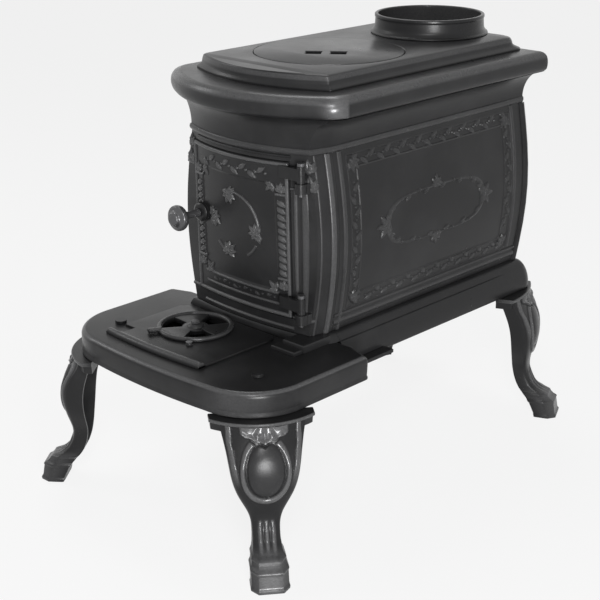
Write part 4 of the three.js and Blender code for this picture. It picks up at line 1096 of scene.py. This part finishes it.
collar[3][:] = np.hypot(collar[0][:, 0], collar[0][:, 1] - FLUE_Y) < FLUE_BORE + 0.3  # painted light: the bore's wall takes the bare-iron colour so that it reads lit inside
make_piece("flue_spigot", [collar, *ears], top_iron, "stove", ["flue_collar"])

# %% [markdown]
# ## The cook lid
# A round lid lies in its seat a hair proud of the deck, with a pair of slanting pockets for the lifter. The lid is
# a plate again: circles for its edge, two four-sided holes for the pockets, their edges broken by a bevel.

# %% Cook lid
LIFTER = {"x": 9.0, "y": -4.0, "turn": 38.0, "apart": 17.0, "long": 21.0, "wide": 21.0}


def pocket_rings(along, top, foot):
    """A slanting pocket: its corners turned about the lifter's centre, wider at the top for a bevel."""
    rings = []
    for ease, z in ((1.4, top), (0, top - 1.4), (0, foot)):
        long, wide = LIFTER["long"] / 2 + ease, LIFTER["wide"] / 2 + ease
        corners = rectangle(along - long, along + long, -wide, wide)
        rings.append(level(turned(corners, LIFTER["turn"], (LIFTER["x"], LIFTER["y"])), z))
    return np.array(rings)


def lid_shell():
    """Edge circles from the underside up over a rounded rim, with the two pockets through."""
    top, foot = DECK_TOP + LID_PROUD, DECK_TOP + LID_PROUD - LID_THICK
    edge = [(LID_R - 1, foot), (LID_R, foot + 1), (LID_R, top - 1.6), (LID_R - 0.4, top - 0.6), (LID_R - 1.6, top)]
    pockets = [pocket_rings(side * LIFTER["apart"], top, foot) for side in (-1, 1)]
    worn = np.zeros((len(edge), 120))
    worn[-3:-1] = 0.5
    return plate_shell(circle_rings(0, LID_Y, edge), pockets, worn.ravel())


make_piece("cook_lid_casting", [lid_shell()], top_iron, "lid", ["cook_lid"])

# %% [markdown]
# ## The base
# The body stands on a domed base: seen from the end its section is a quarter of an ellipse, rounded in plan at
# the rear corners, with a groove along the sides that dies out before the corner. The plan at each distance out
# from the body is an open path, so the section is carried along it and closed through its inner wall. In front,
# where the hearth takes over, only a ring of the dome's upper part carries on. Two blocks make the plinth under
# the hinge corner.

# %% Base dome
HEARTH_TOP, RIM_FOOT, HEARTH_BACK = 239.0, 205.0, -108.0
TIER_FOOT = HEARTH_TOP + GAP
DOME_OUT, DOME_HIGH, DOME_Z, BASE_LONGER = 22.0, 42.0, 208.0, 1.4
GROOVE = [(240.4, 0), (239.9, 0.5), (239.1, 2.6), (238.2, 0.5), (237.4, 0)]  # (height, depth)
LEDGE = 18.0  # the grate lies on it, inside the body's walls
PLINTH = ((90, 128, -174, 250), (84, 126, -190, 245))  # left, right, front and top of its two blocks
RODS = [(97, -112), (97, 284), (-97, -112), (-97, 284)]


def dome(z):
    """How far the base stands out at a height: the half-width of an ellipse about its widest level."""
    return DOME_OUT * np.sqrt(np.clip(1 - ((z - DOME_Z) / DOME_HIGH) ** 2, 0, 1))


def u_plan(out):
    """An open path at a distance from the body: up the right side, round the rear corners, down the left side."""
    half, back, radius = BODY_HALF + out, BODY_BACK + BASE_LONGER * out, 1 + 1.2 * max(out, 0)
    right = np.concatenate([line_points((half, HEARTH_BACK + GAP), (half, back - radius), 70),
                            circle_at(half - radius, back - radius, radius, np.linspace(0, math.pi / 2, 25))])
    return np.concatenate([right, [[0, back]], right[::-1] * (-1, 1)])


def base_dome_shell():
    """The ellipse from top to foot with its groove, a rolled foot, then the inner wall 6 mm in and up to the top.

    The groove fades out over the last 22 mm before the rear corner."""
    upper, lower = ([(z, 0) for z in np.linspace(*span)] for span in ((249.9, 241.2, 12), (236.4, DOME_Z, 14)))
    outer = [(dome(z), z, cut) for z, cut in upper + GROOVE + lower]
    foot = [(DOME_OUT - 0.1, 206.4, 0), (DOME_OUT - 0.9, RIM_FOOT, 0), (DOME_OUT - 6, RIM_FOOT, 0)]
    inner = [(dome(z) - 6, z, 0) for z in np.linspace(DOME_Z, 234, 6)]
    inner += [(1, TIER_FOOT, 0), (-6, 240, 0), (-6, 249.9, 0)]
    rings = []
    for out, z, cut in outer + foot + inner:
        path = u_plan(out)
        path[:, 0] -= np.sign(path[:, 0]) * cut * np.clip((262 - path[:, 1]) / 22, 0, 1)
        rings.append(level(path, z))
    rings = np.array(rings).transpose(1, 0, 2)
    return ring_shell(rings[:, ::-1])


def tier_shell():
    """The dome's upper part as a full ring, a hair inside the swept dome, hollow inside the grate's ledge."""
    inner = five_sided(BODY_HALF - LEDGE, -115, 0.01, BODY_HALF - LEDGE, -114, BODY_BACK - LEDGE)
    rings = [level(inner, TIER_FOOT)]
    for z in np.concatenate([[TIER_FOOT], np.linspace(240.5, 249.7, 14)]):
        grow = dome(z) - 0.5
        ahead = 1.4 + 0.19 * grow
        plan = five_sided(CORNER_X + 0.75 * grow, CORNER_Y - ahead, FRONT_BOW - BOW_CHANGE, BODY_HALF + grow,
                          SIDE_Y - 0.4 * grow, BODY_BACK + 0.6 * grow)
        rings.append(level(plan, z))
    rings.append(level(inner, BODY_FOOT - 0.1))
    return ring_shell(rings, hollow=True)


plinth = [block_shell(x0, x1, front, -122, TIER_FOOT, top, 2.4) for x0, x1, front, top in PLINTH]
lugs = [post_shell(x, y, 10, TIER_FOOT, BODY_FOOT - 0.2) for x, y in RODS]
make_piece("base_casting", [base_dome_shell(), tier_shell(), *plinth, *lugs], black_iron, "stove", ["base_frame"])

# %% [markdown]
# ## The hearth
# The hearth is a shelf with a deep lip, big rounded front corners and a slightly bowed front. It is a plate: its
# lip is a stack of rings from the hollow underside round the foot, up the face and over the eased edge, and its
# top is filled between the outline and the two openings that the ash falls through.

# %% Hearth
HEARTH_HALF, HEARTH_FRONT, HEARTH_BOW, HEARTH_CORNER, HEARTH_UNDER = 192.6, -331.0, 5.5, 85.0, 233.0


def hearth_outline(inset):
    """Bowed front between two large quarter circles, straight sides, and small rounds before a slanting back."""
    half, radius = HEARTH_HALF - inset, HEARTH_CORNER - inset
    run, back = half - radius, HEARTH_BACK - inset
    front = bow_points(run, HEARTH_FRONT + inset, HEARTH_BOW, 41)[1:-1]
    corner = circle_at(run, HEARTH_FRONT + inset + radius, radius, np.linspace(-math.pi / 2, 0, 37))
    turn = np.linspace(0, math.pi / 2, 7)
    rear = np.column_stack([half - 5 + 5 * np.cos(turn), back - 15 + 6 * np.sin(turn)])
    right = np.concatenate([corner, rear, [[half - 30, back]]])
    return np.concatenate([front, right, right[::-1] * (-1, 1)])


def hearth_rings():
    """(inset, height) up the lip: the hollow, the foot with a small bead, the face, and the eased upper edge."""
    steps = [(6, HEARTH_UNDER), (6, RIM_FOOT), (1.4, RIM_FOOT), (0.2, RIM_FOOT + 1), (0, RIM_FOOT + 3),
             (0.9, RIM_FOOT + 6.2), (0.7, RIM_FOOT + 8), (0.3, RIM_FOOT + 20)]
    for turn in np.linspace(0, math.pi / 2, 11):
        steps.append((0.4 + 7.5 * (1 - math.cos(turn)), HEARTH_TOP - 8 + 8 * math.sin(turn)))
    return stacked(hearth_outline, steps)


def ash_hole(x0, x1, y0, y1):
    """A rectangular hole's two rings, from the hearth's top to its underside."""
    return np.array([level(rectangle(x0, x1, y0, y1), z) for z in (HEARTH_TOP, HEARTH_UNDER)])


LEG_BOLTS = [(133.9, -263.9), (-133.9, -263.9)]
ASH_HOLES = ((-100, 56, -288, -167.5), (-100, 100, -146, -115))  # under the ash cover; inside the body's front
lip = hearth_rings()
# The lip's eased upper edge is rubbed, partly wear and partly painted highlight.
rubbed_lip_and_highlights = np.zeros(lip.shape[:2])
rubbed_lip_and_highlights[-7:-2] = 0.7
# Painted highlight: the lip's rounded front corners are lightened where a lamp's reflection falls.
rubbed_lip_and_highlights[3:12] = np.maximum(rubbed_lip_and_highlights[3:12], 0.45 * near_corners(lip[2], 145, 30, -250))
holes = [ash_hole(*sides) for sides in ASH_HOLES]
bosses = [post_shell(x, y, 12, RIM_FOOT, 236) for x, y in LEG_BOLTS]
wings = [block_shell(*sorted((side * 141, side * 156)), -116, -25, RIM_FOOT, RIM_FOOT + 5, 0.6) for side in (1, -1)]
shelf = plate_shell(lip, holes, rubbed_lip_and_highlights.ravel())
make_piece("hearth_casting", [shelf, *bosses, *wings], black_iron, "stove", ["hearth_plate"])

# %% [markdown]
# ## The ash cover and its draft
# The ash cover is a thin plate with a rolled lip in front and a notch for a finger. On it lies the draft, a wheel
# with a round rim, a hub and three openings, turned by a thumb tab. Plates again, with openings shaped like slices
# of a ring; the roll is one section carried along the bowed front edge, and the rim and hub come off the lathe.

# %% Ash cover
COVER_X, COVER_HALF, COVER_FRONT, COVER_REAR = -26.5, 92.5, -302.0, -159.5
COVER_FOOT, COVER_TOP, COVER_BOW = 239.3, 242.3, 5.0
NOTCH_DEEP, NOTCH_NEAR, NOTCH_FAR = 20.0, 10.0, 34.0
ROLL_DEEP, ROLL_SHALLOWER, ROLL_HIGH = 12.6, 3.4, 4.6
DRAFT_X, DRAFT_Y, DRAFT_FOOT, DRAFT_TOP, BOLT_BORE = -38.0, -212.5, 242.6, 245.6, 3.3
OPENING_NEAR, OPENING_FAR, OPENING_SPAN = 18.0, 45.0, 54.0
OPENINGS = (85, 205, 325)


def cover_outline(inset):
    """Bowed front, straight sides with the notch in the left one, and cut corners at the back."""
    half, front = COVER_HALF - inset, COVER_FRONT + inset
    bowed = bow_points(half, front, COVER_BOW, 49) + (COVER_X, 0)
    left, deep = COVER_X - half, COVER_X - COVER_HALF + NOTCH_DEEP + inset
    near, far = COVER_FRONT + NOTCH_NEAR - inset, COVER_FRONT + NOTCH_FAR + inset
    back = COVER_REAR - inset
    rest = [(COVER_X + half, back - 8), (COVER_X + half - 8, back), (left + 8, back), (left, back - 8),
            (left, far), (deep, far), (deep, near), (left, near)]
    return np.concatenate([bowed, rest])


def opening_rings(middle, steps):
    """One opening: a slice of a ring about the draft's bolt, as (grow, height) rings from its top to its foot."""
    rings = []
    for grow, z in steps:
        turn = np.radians(middle + np.linspace(-0.5, 0.5, 14) * (OPENING_SPAN + 3 * grow))
        far = circle_at(DRAFT_X, DRAFT_Y, OPENING_FAR + grow, turn)
        near = circle_at(DRAFT_X, DRAFT_Y, OPENING_NEAR - grow, turn[::-1])
        rings.append(level(np.concatenate([far, near]), z))
    return np.array(rings)


def cover_roll():
    """The lip: half an ellipse on the plate's front edge, shallower by the notch and run out at both ends."""
    x = np.linspace(-COVER_HALF, COVER_HALF, 121)
    depth = ROLL_DEEP - ROLL_SHALLOWER * np.clip((26 - (x + COVER_HALF)) / 6, 0, 1)
    height = ROLL_HIGH * np.sqrt(1 - (1 - np.clip((COVER_HALF - np.abs(x)) / 4, 0, 1)) ** 2)
    turn = np.linspace(0, math.pi, 15)
    y = COVER_FRONT - COVER_BOW * (1 - (x / COVER_HALF) ** 2)
    across = y[:, None] + 0.1 + depth[:, None] * (1 - np.cos(turn)) / 2
    up = COVER_TOP - 0.8 + (height[:, None] + 0.8) * np.sin(turn)
    foot = np.full((len(x), 1), COVER_FOOT + 0.4)
    up, across = np.hstack([foot, up, foot]), np.hstack([across[:, :1], across, across[:, -1:]])
    rings = np.stack([np.repeat(x[:, None] + COVER_X, up.shape[1], axis=1), across, up], axis=-1)
    # The roll is lighter towards its top, partly wear and partly a painted highlight on the rounded lip.
    worn = np.clip((up - COVER_TOP) / ROLL_HIGH, 0, 1) * 0.6
    return ring_shell(rings, relief=worn.ravel())


cover_rings = stacked(cover_outline, ((0.2, COVER_FOOT), (0, COVER_FOOT + 0.3), (0, COVER_TOP - 0.8),
                                      (0.25, COVER_TOP - 0.2), (0.8, COVER_TOP)))
through = [opening_rings(at, ((0, COVER_TOP), (0, COVER_FOOT))) for at in OPENINGS]
make_piece("ash_cover_casting", [plate_shell(cover_rings, through), cover_roll()], black_iron, "ash_cover",
           ["hearth_cover"])

# %% Draft
def tab_plan(inset):
    """The thumb tab's six corners, along X from the bolt."""
    return np.array([(48, -5.4 + inset), (64.5 - inset, -5.4 + inset), (66 - inset, -3.5), (66 - inset, 3.5),
                     (64.5 - inset, 5.4 - inset), (48, 5.4 - inset)])


TAB_STEPS = ((0.3, 244.4), (0, 245.0), (0, 247.6), (0.4, 248.5), (1.4, 249.0))
tab = ring_shell(stacked(lambda inset: turned(tab_plan(inset), 242, (DRAFT_X, DRAFT_Y)), TAB_STEPS))
disc_rings = circle_rings(DRAFT_X, DRAFT_Y, [(51.8, DRAFT_FOOT), (52.3, DRAFT_FOOT + 0.5), (52.3, DRAFT_FOOT + 2.2),
                                             (51.6, DRAFT_TOP)])
turn = np.linspace(0, 2 * math.pi, 24, endpoint=False)
rim_round = np.column_stack([49.1 - 3.3 * np.cos(turn), 245.2 + 2.9 * np.sin(turn)])
hub_profile = rounded([(BOLT_BORE, 243), (12.5, 243), (11.5, 246.4), (8.6, 249.4), (BOLT_BORE, 249.6)])
# The rim and the hub are lightened, partly wear and partly a painted highlight on their rounded tops.
rim = lathe_shell(rim_round, 120, (DRAFT_X, DRAFT_Y, 0), worn=0.5)
hub = lathe_shell(hub_profile, 64, (DRAFT_X, DRAFT_Y, 0), worn=0.3)
opening_steps = ((1.2, DRAFT_TOP), (0.4, DRAFT_TOP - 0.4), (0, DRAFT_TOP - 1.2), (0, DRAFT_FOOT))
openings = [opening_rings(at, opening_steps) for at in OPENINGS]
openings.append(circle_rings(DRAFT_X, DRAFT_Y, [(BOLT_BORE, DRAFT_TOP), (BOLT_BORE, DRAFT_FOOT)], 24))
make_piece("draft_wheel_casting", [plate_shell(disc_rings, openings), rim, hub, tab], top_iron, "draft",
           ["spin_draft"])

# %% [markdown]
# ## The legs
# Each cabriole leg swells at the knee, narrows to the ankle and kicks out into a block foot on a thin sole. Its
# section is a squared oval whose half-width, back and front are read off a short table of heights; near the top
# its face bends to the same arc as the casting above. Like real cast legs it is hollow behind. The face carries
# an oval boss in a rim under a pointed fan of leaves, a rib down each edge, and flutes on the ankle: again a
# height, sampled at each point of the surface. A thin curved cornice closes the leg under the hearth.

# %% Leg shape
LEG_STATIONS = np.array([  # height, half-width, back, front
    (0, 24.4, -18, 15.8), (4.2, 24.8, -19, 16.6), (5.6, 23.6, -19, 14.2), (23, 23.4, -27, 11.2),
    (24.8, 24.6, -29, 12.4), (26.8, 24.2, -30, 10.4), (28.4, 22.4, -31, 7), (34, 21.2, -36, 1.6),
    (35.6, 22.4, -37, 1.8), (37.6, 21.6, -38.5, -2), (39.6, 19.8, -41, -9), (44, 18.6, -45, -17),
    (56, 17.4, -52, -29), (78, 19, -57, -34), (96, 27.5, -57, -31), (112, 36, -57, -27.5), (132, 42, -57.5, -25),
    (152, 45, -60, -27), (172, 48, -66, -32.5), (188, 51.5, -72, -40), (199.4, 54, -76, -44),
])
LEG_TOP, LEG_THICK, CREST_FOOT, CREST_TOP = LEG_STATIONS[-1, 0], 7.5, 188.0, 204.6
BOSS_Z, BOSS_WIDE, BOSS_HIGH = 146.0, 23.0, 35.0  # the oval boss's middle and half axes


def eased_table(heights):
    """Reads the table between its rows and averages over a reach of height: short at the foot, long above it."""
    reach = 1.2 + 9 * ramp(heights, 42, 58)
    offsets = np.linspace(-1, 1, 15)
    near = np.clip(heights[:, None] + reach[:, None] * offsets[None, :], 0, LEG_TOP)
    return np.stack([np.interp(near, LEG_STATIONS[:, 0], LEG_STATIONS[:, i]).mean(axis=1) for i in (1, 2, 3)], axis=-1)


def from_boss(across, up, rim=0):
    """How far out a point is from the middle of the oval boss, or of its rim: 1 is on the oval itself."""
    return np.hypot(across / (BOSS_WIDE + rim), (up - BOSS_Z) / (BOSS_HIGH + rim))


def leg_ornament():
    """The ornament on a leg's face, over distance across it and height."""
    carved = Relief(np.linspace(-56, 56, 225), np.linspace(0, 200, 401))
    across, up = np.meshgrid(carved.a, carved.b, indexing="ij")
    half = np.interp(up, LEG_STATIONS[:, 0], LEG_STATIONS[:, 1])
    carved.rib((from_boss(across, up, 6) - 1) * 33, 3.6, 3.6)
    carved.height = np.maximum(carved.height, 5.6 * np.sqrt(np.clip(1 - from_boss(across, up) ** 2, 0, 1)))
    spread = np.clip(np.abs(across) / 30, 0, 1)
    low_edge = 178.5 + 10 * spread**1.25 + 1.2 * np.abs(np.sin(spread * 2.5 * math.pi))
    over = ramp(up - low_edge, 0, 2.6) * (1 - ramp(np.abs(across), 28, 31))
    petals = 4.4 - 2.2 * ramp(up - low_edge, 2.4, 8) + 1.3 * np.abs(np.cos(np.arctan2(across, up - 214) * 5.5))
    carved.height = np.maximum(carved.height * (1 - over), petals * over)
    carved.height *= 1 - ramp(1.6 - np.abs(up - low_edge + 1.8), 0, 1.6) * (np.abs(across) < 31)
    for spot in (-9.0, 9.0):
        carved.height += 2.6 * np.clip(1 - np.hypot(across - spot, up - 190) / 3.4, 0, 1) ** 0.5
    rib_at = half - 6.0 - 4 * ramp(up, 176, 199)
    carved.rib(np.where(up > 118, np.abs(across) - rib_at, FAR), 3.6, 3.6 * ramp(up, 118, 160) + 0.01)
    flute = across - np.round(across / 8.4) * 8.4
    run = ramp(up, 36, 44) * (1 - ramp(up, 62, 78)) * (np.abs(across) < 12.4)
    carved.height = np.maximum(carved.height, 2.2 * run * np.clip(1 - (flute / 3.4) ** 2, 0, 1))
    return carved


def sampled(carved, a, b):
    """The height at any points, read between the four nearest grid points."""
    i = np.clip(np.interp(a, carved.a, np.arange(len(carved.a))), 0, len(carved.a) - 1.001)
    j = np.clip(np.interp(b, carved.b, np.arange(len(carved.b))), 0, len(carved.b) - 1.001)
    i0, j0 = i.astype(int), j.astype(int)
    fi, fj = i - i0, j - j0
    h = carved.height
    low = h[i0, j0] * (1 - fi) + h[i0 + 1, j0] * fi
    high = h[i0, j0 + 1] * (1 - fi) + h[i0 + 1, j0 + 1] * fi
    return low * (1 - fj) + high * fj


def leg_face(across, half, back, front, up, arc):
    """Front of the section: |x|^p + |w|^p = 1, squarer at the foot and the top, bent to the arc near the top."""
    power = 3.4 + 3.2 * (1 - ramp(up, 34, 52)) + 2.5 * ramp(up, 160, 190)
    out = np.clip(1 - np.abs(across / half) ** power, 0, 1) ** (1 / power)
    cut = 1 - 1.9 * np.clip(np.abs(across / half) - 0.64, 0, 1) * (1 - ramp(up, 34, 44))
    out = np.minimum(out, cut)
    bend = (arc - np.sqrt(arc**2 - across**2)) * ramp(up, 150, 188)
    middle = (back + front) / 2
    return middle + np.maximum(front - bend - middle, 0.5) * out


def leg_shaft(carved, arc):
    """Rings of the section: the face finely spaced and pushed out by the ornament, then the hollow back."""
    up = np.linspace(0, LEG_TOP, 230)[:, None]
    half, back, front = eased_table(up[:, 0]).T[:, :, None]
    across = half * np.sin(np.linspace(-math.pi / 2, math.pi / 2, 131))[None, :]
    height = sampled(carved, across, np.broadcast_to(up, across.shape))
    height *= np.clip(1 - np.abs(across / half) ** 12, 0, 1)
    face = leg_face(across, half, back, front, up, arc) + height
    hollow = ramp(up, 48, 70) * (1 - ramp(up, 176, 187))
    rim, rim_back = np.array([0.4, 1.4, 4.6, 5.8]), np.array([2.6, 0.5, 0.2, 1.6])
    channel = np.linspace(1, -1, 15)[None, :] * (half - 6.4)
    floor = back + np.maximum(leg_face(channel, half, back, front, up, arc) - LEG_THICK - back, 0) * hollow
    right_w, right_x = half - rim, back + rim_back
    behind_w = np.concatenate([right_w, channel, -right_w[:, ::-1]], axis=1)
    behind_x = np.concatenate([right_x, floor, right_x[:, ::-1]], axis=1)
    x, w = np.concatenate([face, behind_x], axis=1), np.concatenate([across, behind_w], axis=1)
    # The foot's front is lightened, brightest in the middle of the face: partly wear and partly a painted highlight
    # where the lamps' reflection falls.
    worn = 2.2 * (1 - ramp(up, 37, 48)) * np.clip(1.25 - np.abs(across / half), 0, 1)
    rubbed = np.maximum(np.where(from_boss(across, up) < 1, 0.3, height), worn)
    value = np.concatenate([rubbed, np.zeros_like(behind_x)], axis=1)
    rings = np.stack([x, w, np.broadcast_to(up, x.shape)], axis=-1)
    return ring_shell(rings, relief=relief_value(value).ravel())


def cornice_shell(near, far, arc):
    """The crest: an arc in front and flat behind. Its ears reach past the leg; a bead runs along its upper edge."""
    steps = [(CREST_FOOT, -8.5, 0), (189.4, -6.8, 0.8), (195, -6.2, 1), (198, -5.2, 1.4), (199.2, -2.4, 2.4),
             (200.4, -0.4, 3), (202.4, 0.3, 3.2), (203.9, -0.3, 3), (CREST_TOP, -1.4, 2.2)]
    rings = []
    for z, reach, longer in steps:
        across = np.linspace(near - longer, far + longer, 61)
        front = -39 + reach - arc + np.sqrt(arc**2 - across**2)
        plan = np.concatenate([np.column_stack([front, across]), [[-80, far + longer], [-80, near - longer]]])
        rings.append(level(plan, z))
    worn = np.zeros((len(rings), len(rings[0])))
    # Painted highlight: the bead along the crest's front is given the bare-iron colour so that it reads lit.
    worn[4:8, :61] = 0.8
    return ring_shell(rings, relief=worn.ravel())


print("leg table of", len(LEG_STATIONS), "heights")

# %% Legs in place
FRONT_LEG = {"x": 219.0, "y": -330.4, "turn": -38.0, "bolt": 108.0, "near": -63.0, "far": 63.0, "arc": 98.7}
REAR_LEG = {"x": 179.7, "y": 332.6, "turn": 25.0, "bolt": 68.0, "near": -58.0, "far": 34.0, "arc": 150.0}


def placed(part, place, hand):
    """A shell turned to the way its leg faces and moved to its foot; a left leg is the mirror image of a right one."""
    points, quads, tris, relief = part
    plan = turned(points[:, :2], place["turn"], (place["x"], place["y"])) * (hand, 1)
    return shell(np.column_stack([plan, points[:, 2]]), quads, tris, relief)


ornament = leg_ornament()
for end, place in (("front", FRONT_LEG), ("rear", REAR_LEG)):
    bolt = place["bolt"]
    parts = [leg_shaft(ornament, place["arc"] - 2), cornice_shell(place["near"], place["far"], place["arc"]),
             block_shell(-max(bolt, 66), -60, -12, 12, CREST_FOOT, CREST_TOP, 1),
             post_shell(-bolt, 0, 12, CREST_FOOT, CREST_TOP)]
    for hand, side in ((1, "right"), (-1, "left")):
        pieces = [placed(part, place, hand) for part in parts]
        make_piece(f"cabriole_{end}_{side}", pieces, black_iron, "stove", [f"leg_{end}_{side}"])
